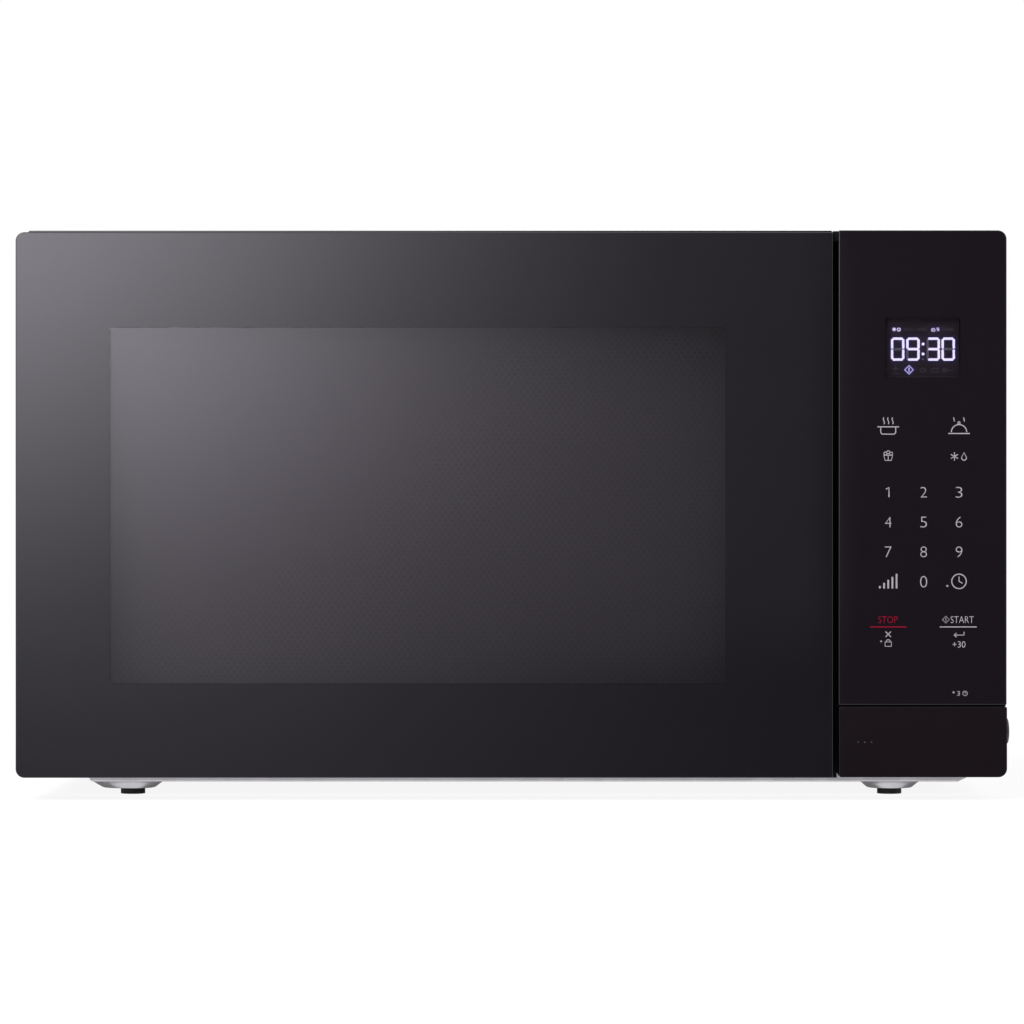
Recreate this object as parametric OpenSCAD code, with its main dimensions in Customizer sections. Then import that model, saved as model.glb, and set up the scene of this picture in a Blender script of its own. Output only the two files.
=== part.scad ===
/* [Front] */
// Width of the door and the control panel together
front_w = 476; // [460:1:490]
// Height of the top of the front above the table
front_top = 274; // [268:1:284]
// Overall depth, from the glass to the rear spacers
depth = 388; // [380:1:410]
// Thickness of the door, from its glass to the front plate
door_t = 32; // [31:0.5:36]
// Width of the control panel
panel_w = 80.7; // [78:0.1:84]
// Gap between the door and the control panel
door_gap = 2.7; // [2:0.1:3.5]
// Height of the lower edge of the door above the table
door_z = 11; // [10.5:0.1:13]
// Thickness of the door glass and of the control fascia
glass_t = 3.2; // [3:0.1:4]
// How far the frame's lip stands above the door glass
lip_h = 0.9; // [0.5:0.1:1.5]
// Radius of the outer corners of the front
outer_r = 4.2; // [3:0.1:6]
// Radius of the corners beside the gap
inner_r = 1; // [0.5:0.1:1.5]
/* [Door] */
// Width of the door left of the cooking chamber
hinge_margin = 32; // [31.5:0.1:36]
// Width of the door right of the cooking chamber
latch_margin = 36.6; // [36:0.1:40]
// Wall thickness of the moulded door frame
frame_wall = 2.4; // [2:0.1:2.8]
// Distance of the hinge axis from the door's left edge
hinge_in = 7.5; // [7:0.1:7.6]
// Distance of the hinge axis from the front plate
hinge_back = 11; // [10.5:0.1:12]
// Diameter of the hinge pins
hinge_pin_d = 5; // [4:0.1:6]
// Length of the hinge pins
hinge_pin_l = 12; // [8:0.5:14]
// How far the door swings open, in degrees
door_swing = 110; // [90:1:110]
// Gap between the back of the door and the front plate
door_seat = 0.9; // [0.6:0.1:1.2]
// Depth of the choke channel
choke_depth = 20; // [16:0.5:20]
// Width of the choke channel
choke_w = 13.6; // [12:0.1:14]
// Width of the flat sealing face around the cooking chamber
seal_w = 5; // [4.5:0.1:5.5]
// Thickness of the clear inner window
inner_window_t = 0.8; // [0.5:0.1:0.9]
/* [Window] */
// From the chamber's left wall to the clear part of the door glass
window_left = 13.3; // [10:0.1:18]
// From the chamber's right wall to the clear part of the door glass
window_right = 14.8; // [10:0.1:18]
// From the chamber's floor to the clear part of the door glass
window_bottom = 24.3; // [20:0.1:30]
// From the chamber's roof to the clear part of the door glass
window_top = 18.7; // [14:0.1:24]
/* [Cabinet] */
// Thickness of the steel sheets
sheet = 0.8; // [0.6:0.1:1]
// How far the cabinet is set in from the front at each side
shell_inset = 3; // [2:0.1:4]
// How far the cabinet's top is below the top of the front
top_drop = 4; // [3:0.1:6]
// Width of the cabinet's folded edges
fold_w = 10; // [8:0.5:12]
// Height of the rear spacers
spacer_h = 7.2; // [6:0.1:10]
// Diameter of the rear spacers
spacer_d = 22; // [16:1:28]
// Diameter of the cord's hole through the inlet bush
cord_d = 8.2; // [6:0.1:10]
// Width of the ventilation slots
slot_w = 3; // [2:0.1:4]
// Width of the metal between the ventilation slots
slot_web = 4.5; // [4:0.1:6]
/* [Base] */
// Height of a foot below its boss
foot_h = 3.7; // [3:0.1:6]
// Diameter of a foot
foot_d = 12; // [10:0.1:16]
// Diameter of a foot's stem
stem_d = 5; // [4:0.1:6]
// Depth of the foot bosses pressed into the base
boss_h = 3.7; // [3:0.1:5]
// Diameter of a boss at its flat end
boss_d = 22; // [20:0.5:26]
// Diameter of a boss at the base plate
boss_root_d = 34; // [30:0.5:38]
// Depth of the base pan
pan_h = 4.6; // [4:0.1:6]
// Distance of the feet from the sides of the front
foot_in = 51.5; // [48:0.5:68]
// Distance of the front feet behind the front plate
foot_front = 22; // [18:1:40]
// Distance of the rear feet in front of the rear panel
foot_rear = 40; // [25:1:60]
/* [Cooking chamber] */
// Height left free between the chamber and the cabinet's top
top_space = 23.2; // [20:0.1:30]
// Depth left free between the chamber and the rear panel
rear_space = 12.6; // [10:0.1:20]
// Gap between the base plate and the turntable motor
motor_gap = 5; // [4:0.1:8]
// Height of the turntable motor
motor_h = 18; // [16:0.5:22]
// Diameter of the turntable motor
motor_d = 49; // [44:0.5:56]
// Diameter of the turntable shaft
shaft_d = 7; // [5:0.1:8]
/* [Turntable] */
// Diameter of the glass tray
tray_d = 292; // [260:1:300]
// Thickness of the glass tray
tray_t = 4.5; // [4:0.1:6]
// Height of the tray's rim
tray_rim = 13; // [10:0.5:18]
// Diameter of a roller
roller_d = 13.6; // [12:0.1:16]
// Width of a roller
roller_w = 7; // [5:0.5:10]
// Radius of the circle that the rollers run on
roller_path = 92; // [80:1:110]
// Diameter of a roller's axle
axle_d = 3.2; // [2.5:0.1:4]
// Width of the roller ring
ring_w = 7; // [5:0.5:9]
// Height of the roller ring
ring_h = 5; // [4:0.1:6]
// Diameter of the coupling's column
coupling_d = 20; // [16:0.5:24]
// Reach of the coupling's lobes from its centre
lobe_r = 22; // [18:0.5:26]
/* [Control panel] */
// Height of the release button
button_h = 33.8; // [30:0.1:38]
// Gap between the fascia and the release button
button_gap = 0.95; // [0.8:0.05:1.5]
// How far the lower edge of the button is above the door's
button_lift = 0.3; // [0:0.1:1]
// Travel of the release button
button_travel = 4; // [3:0.1:4.4]
// Depth of the button's skirt
skirt_h = 12; // [10:0.5:13]
// Wall thickness of the control housing and the button
mould_wall = 2.2; // [1.8:0.1:2.5]
// Diameter of the button's guide posts
post_d = 6; // [5:0.1:7]
// Wire diameter of the springs
wire_d = 0.8; // [0.6:0.1:1]
// Width of the display
display_w = 37.9; // [34:0.1:44]
// Height of the display
display_h = 28.8; // [24:0.1:34]
// Depth of the display module
display_t = 8; // [6:0.1:8.5]
// From the top of the front to the top of the display
display_drop = 41.9; // [30:0.1:60]
// From the fascia's left edge to the display
display_in = 20.8; // [16:0.1:24]
// How far the side bumper stands out beyond the front
bumper_proud = 3.8; // [2:0.1:5]
// Diameter of the side bumper
bumper_d = 12.5; // [8:0.1:14]
// Height of the bumper above the table
bumper_z = 32.4; // [26:0.1:38]
/* [Latch] */
// From the door's right edge to the middle of the latch
latch_in = 8.6; // [8:0.1:9.5]
// Thickness of the latch hooks
hook_t = 3.2; // [2.5:0.1:3.6]
// Height of a hook's shank
hook_h = 9; // [8:0.1:10]
// How far a hook's beak reaches below its shank
beak_h = 3; // [2:0.1:3.5]
// Height of the lower hook above the table
hook_z = 63; // [58:0.5:70]
// From the top of the front to the upper hook
hook_drop = 71; // [66:0.5:90]
// How far a hook reaches behind the front plate's face
hook_reach = 26; // [25:0.5:28]
// Length of the release lever's lower arm
lever_arm = 16.7; // [14:0.1:18]
// Travel of the switch plungers
plunger_travel = 0.8; // [0.5:0.1:1]
/* [Magnetron and cooling] */
// Depth of the waveguide
guide_w = 36; // [30:0.5:38]
// Height of the waveguide
guide_h = 84; // [76:1:90]
// Length of the waveguide
guide_l = 110; // [100:1:120]
// From the chamber's roof to the magnetron's middle
magnetron_drop = 74; // [70:1:84]
// From the magnetron's middle to the fan's shroud
magnetron_to_fan = 146.2; // [138:0.1:152]
// Width of the magnetron's yoke, front to rear
yoke_l = 92; // [86:1:100]
// Height of the magnetron's yoke
yoke_h = 78; // [70:1:84]
// Length of the magnetron's yoke along its tube
yoke_w = 42; // [38:1:44]
// Length of the magnetron's filter box
filter_w = 22; // [18:1:24]
// Diameter of the fan
fan_d = 96; // [86:1:98]
// Number of fan blades
fan_blades = 5; // [4:1:7]
// Depth of the space between the fan's shroud and the rear panel
fan_space = 34; // [32:1:40]
/* [Hidden] */
$fn = 48;
fit = 0.05;      // radial clearance of a running fit
play = 0.3;      // clearance between pieces that pass each other
past = 1;        // how far a cutting shape runs past the piece it cuts
// Planes from the front to the rear
front_y = -depth/2;
glass_y = front_y + glass_t;
plate_y = front_y + door_t;
chamber_y = plate_y + sheet;
rear_y = depth/2 - spacer_h - sheet;
panel_y = rear_y - sheet;
chamber_back = panel_y - rear_space - sheet;
// Planes from the left to the right
middle_x = -bumper_proud/2;
front_l = middle_x - front_w/2;
front_r = middle_x + front_w/2;
panel_l = front_r - panel_w;
door_r = panel_l - door_gap;
shell_l = front_l + shell_inset;
shell_r = front_r - shell_inset;
chamber_l = front_l + hinge_margin;
chamber_r = door_r - latch_margin;
bay_l = chamber_r + sheet;
bay_r = shell_r - sheet;
// Planes from the bottom to the top
base_z = foot_h + boss_h;
rim_z = base_z + pan_h;
chamber_z = base_z + sheet + motor_gap + motor_h + sheet;
shell_top = front_top - top_drop;
roof_z = shell_top - sheet;
chamber_top = roof_z - top_space;
door_top = front_top - lip_h;
button_z = door_z + button_lift;
button_top = button_z + button_h;
fascia_z = button_top + button_gap;
// Window of the door
window_l = chamber_l + window_left;
window_r = chamber_r - window_right;
window_z = chamber_z + window_bottom;
window_z2 = chamber_top - window_top;
// Hinges
hinge_x = front_l + hinge_in;
hinge_y = plate_y - hinge_back;
swing_r = hinge_back - 0.6;
hinge_arm_t = 2;
hinge_arm_r = 4.8;
arm_low_z = door_z + 10;
arm_high_z = door_top - 12;
// Inside of the door
door_back = plate_y - door_seat;
cover_t = 1.6;
seal_y = door_back - cover_t - sheet;
// Turntable
table_x = (chamber_l + chamber_r)/2;
table_y = (chamber_y + chamber_back)/2;
roller_gap = 0.2;
tray_z = chamber_z + roller_d + 2*roller_gap;
ring_r = roller_path - roller_w/2 - 3;
// Latch
latch_x = door_r - latch_in;
hook_pitch = front_top - hook_drop - hook_z;
hook_end = plate_y + hook_reach;
beak_l = 6;
latch_lift = 0.8*button_travel;
lever_y = hook_end - beak_l/2 - 14;
lever_z = hook_z - beak_h - 9;
rod_x = panel_l + 8.5;
switch_y = hook_end + play + plunger_travel;
// Magnetron and fan
shroud_y = panel_y - fan_space;
ring_l = 14;
tube_y = shroud_y - magnetron_to_fan;
tube_z = chamber_top - magnetron_drop;
yoke_x = bay_l + guide_w;
fan_x = (bay_l + bay_r)/2;
foot_xs = [foot_in - front_w/2, front_w/2 - foot_in];
foot_ys = [chamber_y + foot_front, panel_y - foot_rear];

// A block between two corners.
module block(x0, x1, y0, y1, z0, z1) translate([x0, y0, z0]) cube([x1 - x0, y1 - y0, z1 - z0]);
// Round bars and bores along the three axes.
module bar_x(x0, x1, y, z, d) translate([x0, y, z]) rotate([0, 90, 0]) cylinder(h = x1 - x0, d = d);
module bar_y(x, y0, y1, z, d) translate([x, y0, z]) rotate([-90, 0, 0]) cylinder(h = y1 - y0, d = d);
module bar_z(x, y, z0, z1, d) translate([x, y, z0]) cylinder(h = z1 - z0, d = d);
// An outline drawn in x and z, standing upright with its front at y and t thick.
module upright(y, t) translate([0, y + t, 0]) rotate([90, 0, 0]) linear_extrude(t) children();
// A rectangle with its own radius at the bottom left, bottom right, top right and top left corner.
module outline(x0, x1, z0, z1, radii) difference() {
  translate([x0, z0]) square([x1 - x0, z1 - z0]);
  for (i = [0:3]) if (radii[i] > 0) {
    left = i == 0 || i == 3;
    low = i < 2;
    r = radii[i];
    translate([left ? x0 : x1, low ? z0 : z1]) difference() {
      translate([left ? -past : -r, low ? -past : -r]) square(r + past);
      translate([left ? r : -r, low ? r : -r]) circle(r);
    }
  }
}
// A row of upright ventilation slots between two corners of an x and z area.
module slots(x0, x1, z0, z1, y) {
  count = floor((x1 - x0 + slot_web)/(slot_w + slot_web));
  start = (x0 + x1 - count*(slot_w + slot_web) + slot_web)/2;
  for (i = [0:count - 1]) {
    x = start + i*(slot_w + slot_web);
    block(x, x + slot_w, y - past, y + sheet + past, z0, z1);
  }
}
// A coil spring along z, swept as one round wire.
function coil_ring(d, h, a, turn) = [for (j = [0:7]) let (b = 45*j)
  [(d/2 + wire_d/2*cos(b))*cos(a), (d/2 + wire_d/2*cos(b))*sin(a), h*turn + wire_d/2*sin(b)]];
module coil(d, length, turns) {
  steps = turns*16;
  points = [for (i = [0:steps]) each coil_ring(d, length, 22.5*i, i/steps)];
  sides = [for (i = [0:steps - 1], j = [0:7]) [8*i + j, 8*i + 8 + j, 8*i + 8 + (j + 1)%8, 8*i + (j + 1)%8]];
  ends = [[for (j = [0:7]) j], [for (j = [0:7]) 8*steps + 7 - j]];
  polyhedron(points, concat(sides, ends), convexity = 10);
}

// Door: outer glass, frame, steel inner door with its choke, cover and inner window.
module door_glass() color([0.06, 0.055, 0.065]) upright(front_y, glass_t)
  outline(front_l, door_r, door_z, door_top, [outer_r, inner_r, inner_r, outer_r]);

// The frame's outside: square at the front, and round about the hinge axis at the rear left.
module door_corner_cut() difference() {
  block(front_l - past, hinge_x, hinge_y, plate_y + past, door_z - past, front_top + past);
  bar_z(hinge_x, hinge_y, door_z - 2*past, front_top + 2*past, 2*swing_r);
}
module hinge_notch(z0) block(front_l - past, hinge_x + hinge_arm_r + 0.7, hinge_y - hinge_arm_r - 1.7,
  plate_y + past, z0 - play, z0 + hinge_arm_t + play);
module hinge_seat(z0, z1) block(front_l + 0.3, choke_out[0] - play, hinge_y - 6.5, door_back - cover_t, z0, z1);
module hook_holes(y0, y1) for (z = [hook_z, hook_z + hook_pitch])
  block(latch_x - hook_t/2 - 0.8, latch_x + hook_t/2 + 1.2, y0, y1, z - beak_h - play,
    z + hook_h + latch_lift + play);
module door_frame() color([0.03, 0.03, 0.035]) difference() {
  union() {
    difference() {
      union() {
        upright(glass_y, door_back - cover_t - glass_y)
          outline(front_l + 0.3, door_r - 0.3, door_z + 0.3, door_top, [outer_r, inner_r, inner_r, outer_r]);
        upright(glass_y, door_back - cover_t - glass_y)
          outline(front_l + outer_r + 1.6, door_r - 0.3, door_top - 6, front_top, [0, 0, 0.4, 0.8]);
      }
      upright(glass_y - past, 2*past + frame_wall)
        outline(window_l - 4, window_r + 4, window_z - 4, window_z2 + 4, [2, 2, 2, 2]);
      block(front_l + 0.3 + frame_wall, door_r - 0.3 - frame_wall, glass_y + frame_wall, plate_y,
        door_z + 0.3 + frame_wall, door_top - frame_wall);
    }
    hinge_seat(door_z + 1, arm_low_z + hinge_pin_l + 6);
    hinge_seat(arm_high_z - hinge_pin_l - 6, door_top - 1);
    for (z = door_screw_zs) bar_y(door_r - 6, glass_y + 1, door_back - cover_t, z, 6);
    for (z = latch_rails) block(latch_x - 5, latch_x + 5, glass_y + 1, latch_y - play, z, z + 6);
    block(latch_x - 5, latch_x + 5, glass_y + 1, key_y2 + 1, spring_top, spring_top + 3);
  }
  hinge_notch(arm_low_z);
  hinge_notch(arm_high_z);
  bar_z(hinge_x, hinge_y, arm_low_z, arm_low_z + hinge_arm_t + hinge_pin_l + 0.5, hinge_pin_d + 2*fit);
  bar_z(hinge_x, hinge_y, arm_high_z - hinge_pin_l - 0.5, arm_high_z + 1, hinge_pin_d + 2*fit);
  for (z = door_screw_zs) bar_y(door_r - 6, door_back - cover_t - 9, door_back, z, 2.6);
  door_corner_cut();
}
latch_rails = [hook_z + 30, hook_z + hook_pitch - 36];
door_screw_zs = [door_z + 24, door_top - 12];

// The steel inner door: one sheet across the window and a deep choke channel around it.
choke_in = [chamber_l - seal_w, chamber_r + seal_w, chamber_z - seal_w, chamber_top + seal_w];
choke_out = [choke_in[0] - choke_w, choke_in[1] + choke_w, max(choke_in[2] - choke_w, door_z + 4),
  choke_in[3] + choke_w];
module choke_teeth(x0, x1, z0, z1, upright_side) {
  length = upright_side ? z1 - z0 : x1 - x0;
  count = floor(length/14);
  for (i = [0:count - 1]) {
    s = (i + 0.5)*length/count - 1.5;
    if (upright_side) block(x0, x1, seal_y - 5, seal_y + sheet, z0 + s, z0 + s + 3);
    else block(x0 + s, x0 + s + 3, seal_y - 5, seal_y + sheet, z0, z1);
  }
}
module door_panel() color([0.35, 0.35, 0.37]) difference() {
  union() {
    block(choke_in[0], choke_in[1], seal_y, seal_y + sheet, choke_in[2], choke_in[3]);
    difference() {
      block(choke_out[0], choke_out[1], seal_y + sheet - choke_depth, seal_y + sheet, choke_out[2], choke_out[3]);
      block(choke_out[0] + sheet, choke_out[1] - sheet, seal_y + 2*sheet - choke_depth, seal_y + 2*past,
        choke_out[2] + sheet, choke_out[3] - sheet);
      block(choke_in[0] + sheet, choke_in[1] - sheet, seal_y - choke_depth, seal_y + 2*past,
        choke_in[2] + sheet, choke_in[3] - sheet);
    }
    difference() {
      block(choke_in[0], choke_in[1], seal_y + sheet - choke_depth, seal_y + sheet/2, choke_in[2], choke_in[3]);
      block(choke_in[0] + sheet, choke_in[1] - sheet, seal_y - choke_depth - past, seal_y + past,
        choke_in[2] + sheet, choke_in[3] - sheet);
    }
  }
  for (x = [choke_out[0] - past, choke_out[1] - sheet - past/2])
    choke_teeth(x, x + sheet + 1.5*past, choke_in[2], choke_in[3], true);
  for (z = [choke_out[2] - past, choke_out[3] - sheet - past/2])
    choke_teeth(choke_in[0], choke_in[1], z, z + sheet + 1.5*past, false);
}

// The moulded cover over the choke, open at the inner window.
inner_l = choke_in[0] + 2;
inner_r2 = choke_in[1] - 2;
inner_z = choke_in[2] + 2;
inner_z2 = choke_in[3] - 2;
module choke_cover() color([0.05, 0.05, 0.055]) difference() {
  upright(door_back - cover_t, cover_t) difference() {
    outline(hinge_x - 1.5, door_r - 1, door_z + 1, door_top - 1, [1, inner_r, inner_r, 1]);
    outline(inner_l, inner_r2, inner_z, inner_z2, [3, 3, 3, 3]);
  }
  hinge_notch(arm_low_z);
  hinge_notch(arm_high_z);
  hook_holes(door_back - cover_t - past, door_back + past);
  for (z = door_screw_zs) bar_y(door_r - 6, door_back - cover_t - past, door_back + past, z, 3.2);
}
module inner_window() color([0.5, 0.52, 0.55, 0.5]) upright(seal_y + sheet, inner_window_t)
  outline(inner_l + play, inner_r2 - play, inner_z + play, inner_z2 - play, [2.7, 2.7, 2.7, 2.7]);
module door_screws() color("dimgray") for (z = door_screw_zs) {
  bar_y(door_r - 6, door_back - cover_t - 8, door_back - cover_t, z, 2.5);
  bar_y(door_r - 6, door_back - cover_t, door_back, z, 3);
}

// The latch bar with its two hooks, which slides up in the door against its spring.
latch_y = glass_y + 6;
key_y2 = latch_y + 5;
module latch_key() color([0.75, 0.72, 0.65]) {
  block(latch_x - hook_t/2, latch_x + hook_t/2, latch_y, key_y2, hook_z - 8, hook_z + hook_pitch + 22);
  for (z = [hook_z, hook_z + hook_pitch]) {
    block(latch_x - hook_t/2, latch_x + hook_t/2, key_y2, hook_end, z, z + hook_h);
    block(latch_x - hook_t/2, latch_x + hook_t/2, hook_end - beak_l, hook_end, z - beak_h, z);
  }
}
spring_z = hook_z + hook_pitch + 22;
module latch_spring() color("silver") translate([latch_x, (latch_y + key_y2)/2, spring_z + wire_d/2])
  coil(4, spring_top - spring_z - wire_d, 8);
spring_top = spring_z + 22;

// Hinge brackets: a leg behind the front plate, an arm through it and a pin.
module hinge(arm_z, pin_up) {
  neck_l = hinge_x - 2;
  leg_z = pin_up ? arm_z : arm_z + hinge_arm_t - 34;
  translate([hinge_x, hinge_y, arm_z]) cylinder(h = hinge_arm_t, r = hinge_arm_r);
  block(neck_l, hinge_x + hinge_arm_r, hinge_y, chamber_y + 1.5, arm_z, arm_z + hinge_arm_t);
  block(neck_l, hinge_x + 18, chamber_y, chamber_y + 1.5, leg_z, leg_z + 34);
  if (pin_up) bar_z(hinge_x, hinge_y, arm_z + hinge_arm_t/2, arm_z + hinge_arm_t + hinge_pin_l, hinge_pin_d);
  else bar_z(hinge_x, hinge_y, arm_z - hinge_pin_l, arm_z + hinge_arm_t/2, hinge_pin_d);
}
module lower_hinge() color("gray") hinge(arm_low_z, true);
module upper_hinge() color("gray") hinge(arm_high_z, false);

// The steel face that carries the chamber, the hinges and the control housing.
module front_plate() color("silver") difference() {
  union() {
    block(shell_l + sheet, bay_r, plate_y, chamber_y, rim_z, roof_z);
    block(shell_l + sheet, bay_r, plate_y, plate_y + fold_w, roof_z - sheet, roof_z);
    for (x = [shell_l + sheet, bay_r - sheet]) block(x, x + sheet, plate_y, plate_y + fold_w, rim_z + sheet, roof_z);
  }
  block(chamber_l, chamber_r, plate_y - past, chamber_y + past, chamber_z, chamber_top);
  block(panel_l + 3, bay_r - 7, plate_y - past, chamber_y + past, rim_z + 10, roof_z - 10);
  for (z = [arm_low_z, arm_high_z]) block(hinge_x - 2 - play, hinge_x + hinge_arm_r + play,
    plate_y - past, chamber_y + past, z - play, z + hinge_arm_t + play);
  for (z = [hook_z, hook_z + hook_pitch]) block(latch_x - hook_t/2 - 1, latch_x + hook_t/2 + 3.4,
    plate_y - past, chamber_y + past, z - beak_h - 0.8, z + hook_h + latch_lift + 0.8);
}

// The cooking chamber: a welded steel box, open at the front.
port_l = 76;
port_h = 46;
module cavity() color([0.7, 0.7, 0.69]) difference() {
  block(chamber_l - sheet, bay_l, chamber_y, chamber_back + sheet, chamber_z - sheet, chamber_top + sheet);
  block(chamber_l, chamber_r, chamber_y - past, chamber_back, chamber_z, chamber_top);
  bar_z(table_x, table_y, chamber_z - 2*past, chamber_z + past, shaft_d + 5);
  block(chamber_r - past, bay_l + past, tube_y - port_l/2, tube_y + port_l/2, tube_z - port_h/2, tube_z + port_h/2);
  for (i = [0:6], j = [0:3]) bar_x(chamber_r - past, bay_l + past, lamp_y + 6*(i - 3), lamp_z + 6*(j - 1.5), 3.2);
  for (i = [0:9], j = [0:3]) bar_x(chamber_l - 2*past, chamber_l + past, chamber_back - 40 - 7*i,
    chamber_top - 24 - 7*j, 3.2);
}
lamp_l = 42;
lamp_h = 26;
lamp_y = shroud_y - ring_l - lamp_l;
lamp_z = chamber_top - 34;
// The waveguide on the chamber's right wall, and the mica sheet over its mouth.
module waveguide() color("silver") difference() {
  block(bay_l, yoke_x, tube_y - guide_l/2, tube_y + guide_l/2, tube_z - guide_h/2, tube_z + guide_h/2);
  block(bay_l - past, yoke_x - sheet, tube_y - guide_l/2 + sheet, tube_y + guide_l/2 - sheet,
    tube_z - guide_h/2 + sheet, tube_z + guide_h/2 - sheet);
  bar_x(yoke_x - 2*past, yoke_x + past, tube_y, tube_z, 24);
}
module waveguide_cover() color([0.72, 0.66, 0.55]) difference() {
  block(chamber_r - 0.5, chamber_r, tube_y - port_l/2 - 12, tube_y + port_l/2 + 12,
    tube_z - port_h/2 - 12, tube_z + port_h/2 + 12);
  for (s = [-1, 1]) bar_x(chamber_r - past, chamber_r + past, tube_y, tube_z + s*(port_h/2 + 7), 4);
}

// The pressed base with four foot bosses, and the feet that snap into them.
pan_l = shell_l + 33;
pan_r = shell_r - 22;
pan_end = panel_y;
function pan_line(lift) = [[shell_l + sheet, rim_z + lift], [pan_l - 4, rim_z + lift], [pan_l, base_z + lift],
  [pan_r, base_z + lift], [pan_r + 9, rim_z + lift], [bay_r, rim_z + lift]];
function reversed(list) = [for (i = [len(list) - 1:-1:0]) list[i]];
module base_plate() color([0.72, 0.72, 0.72]) difference() {
  union() {
    upright(chamber_y, pan_end - chamber_y) polygon(concat(pan_line(0), reversed(pan_line(sheet))));
    for (y = [chamber_y, pan_end - sheet]) upright(y, sheet)
      polygon(concat(pan_line(0), [[bay_r, rim_z + sheet], [bay_r - 2, rim_z + sheet], [bay_r - 4, rim_z + 6],
        [shell_l + 6, rim_z + 6], [shell_l + sheet + 2, rim_z + sheet], [shell_l + sheet, rim_z + sheet]]));
    for (x = foot_xs, y = foot_ys) translate([middle_x + x, y, base_z - boss_h])
      cylinder(h = boss_h + sheet/2, d1 = boss_d, d2 = boss_root_d);
  }
  for (x = foot_xs, y = foot_ys) translate([middle_x + x, y, base_z - boss_h]) {
    translate([0, 0, sheet]) cylinder(h = boss_h, d1 = boss_d - 1.6*sheet, d2 = boss_root_d - 1.6*sheet);
    translate([0, 0, -past]) cylinder(h = 4*past, d = stem_d + 0.3);
  }
  for (i = [0:8], j = [0:1]) translate([bay_l + 18 + 9*i, shroud_y - 110 + 60*j, 0])
    block(0, slot_w, 0, 45, base_z - past, base_z + 2*past);
}
module foot(i, j) color([0.03, 0.03, 0.03]) translate([middle_x + foot_xs[i], foot_ys[j], 0]) {
  cylinder(h = 0.6, d1 = foot_d - 1.2, d2 = foot_d);
  translate([0, 0, 0.6]) cylinder(h = foot_h - 0.6, d = foot_d);
  cylinder(h = foot_h + sheet + 1, d = stem_d);
  translate([0, 0, foot_h + sheet + 0.1]) cylinder(h = 1.5, d1 = stem_d + 1.4, d2 = stem_d - 1);
}
module foot_front_left() foot(0, 0);
module foot_front_right() foot(1, 0);
module foot_rear_left() foot(0, 1);
module foot_rear_right() foot(1, 1);

// The folded wrap: top, two sides, a rear edge turned in and two lower edges turned under the base.
module outer_cabinet() color([0.06, 0.06, 0.065]) difference() {
  block(shell_l, shell_r, plate_y, rear_y + sheet, rim_z - sheet, shell_top);
  block(shell_l + sheet, bay_r, plate_y - past, rear_y, rim_z, roof_z);
  block(shell_l + fold_w, shell_r - fold_w, plate_y - past, rear_y + 2*past, rim_z - 2*past, roof_z - fold_w);
  for (z = cabinet_holes) for (x = [shell_l + fold_w/2, shell_r - fold_w/2])
    bar_y(x, rear_y - past, rear_y + 2*past, z, 3.4);
  for (i = [0:11]) block(bay_r - past, shell_r + past, tube_y + 42 + 7.5*i, tube_y + 45 + 7.5*i,
    chamber_z + 20, chamber_z + 60);
}
cabinet_holes = [rim_z + 20, (rim_z + roof_z)/2, roof_z - 20];
module cabinet_screws() color("dimgray") for (z = cabinet_holes, x = [shell_l + fold_w/2, shell_r - fold_w/2]) {
  bar_y(x, panel_y - 6, rear_y + sheet, z, 3);
  translate([x, rear_y + sheet, z]) rotate([-90, 0, 0]) cylinder(h = 2, d1 = 7, d2 = 4);
}
gland_x = bay_r - 24;
gland_z = chamber_z + 26;
module rear_panel() color([0.6, 0.6, 0.6]) difference() {
  block(shell_l + sheet, bay_r, panel_y, rear_y, rim_z, roof_z);
  for (j = [0:2]) slots(fan_x - 44, fan_x + 44, tube_z - 42 + 29*j, tube_z - 42 + 29*j + 24, panel_y);
  for (j = [0:1]) slots(chamber_l + 6, chamber_l + 80, chamber_top - 26 - 30*j, chamber_top - 30*j, panel_y);
  bar_y(gland_x, panel_y - past, rear_y + past, gland_z, cord_d + 6);
  for (z = cabinet_holes, x = [shell_l + fold_w/2, shell_r - fold_w/2])
    bar_y(x, panel_y - past, rear_y + past, z, 3);
  for (x = spacer_xs) bar_y(x, panel_y - past, rear_y + past, spacer_z, 5);
}
spacer_pitch = 120;
spacer_drop = 60;
spacer_xs = [middle_x - spacer_pitch/2, middle_x + spacer_pitch/2];
spacer_z = roof_z - spacer_drop;
module rear_spacers() color([0.04, 0.04, 0.04]) for (x = spacer_xs) translate([x, rear_y, spacer_z])
  rotate([-90, 0, 0]) {
    cylinder(h = spacer_h + sheet - 2, d = spacer_d);
    translate([0, 0, spacer_h + sheet - 2]) cylinder(h = 2, d1 = spacer_d, d2 = spacer_d - 4);
    translate([0, 0, -sheet - 3]) cylinder(h = sheet + 3, d = 4.8);
  }
module cord_gland() color([0.04, 0.04, 0.04]) translate([gland_x, panel_y, gland_z]) rotate([-90, 0, 0])
  difference() {
    union() {
      translate([0, 0, -2]) cylinder(h = 2, d = cord_d + 10);
      translate([0, 0, -2]) cylinder(h = 2 + sheet, d = cord_d + 5.8);
      translate([0, 0, sheet]) cylinder(h = 4, d = cord_d + 10);
    }
    translate([0, 0, -3]) cylinder(h = 4 + sheet + 4, d = cord_d);
  }

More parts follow.
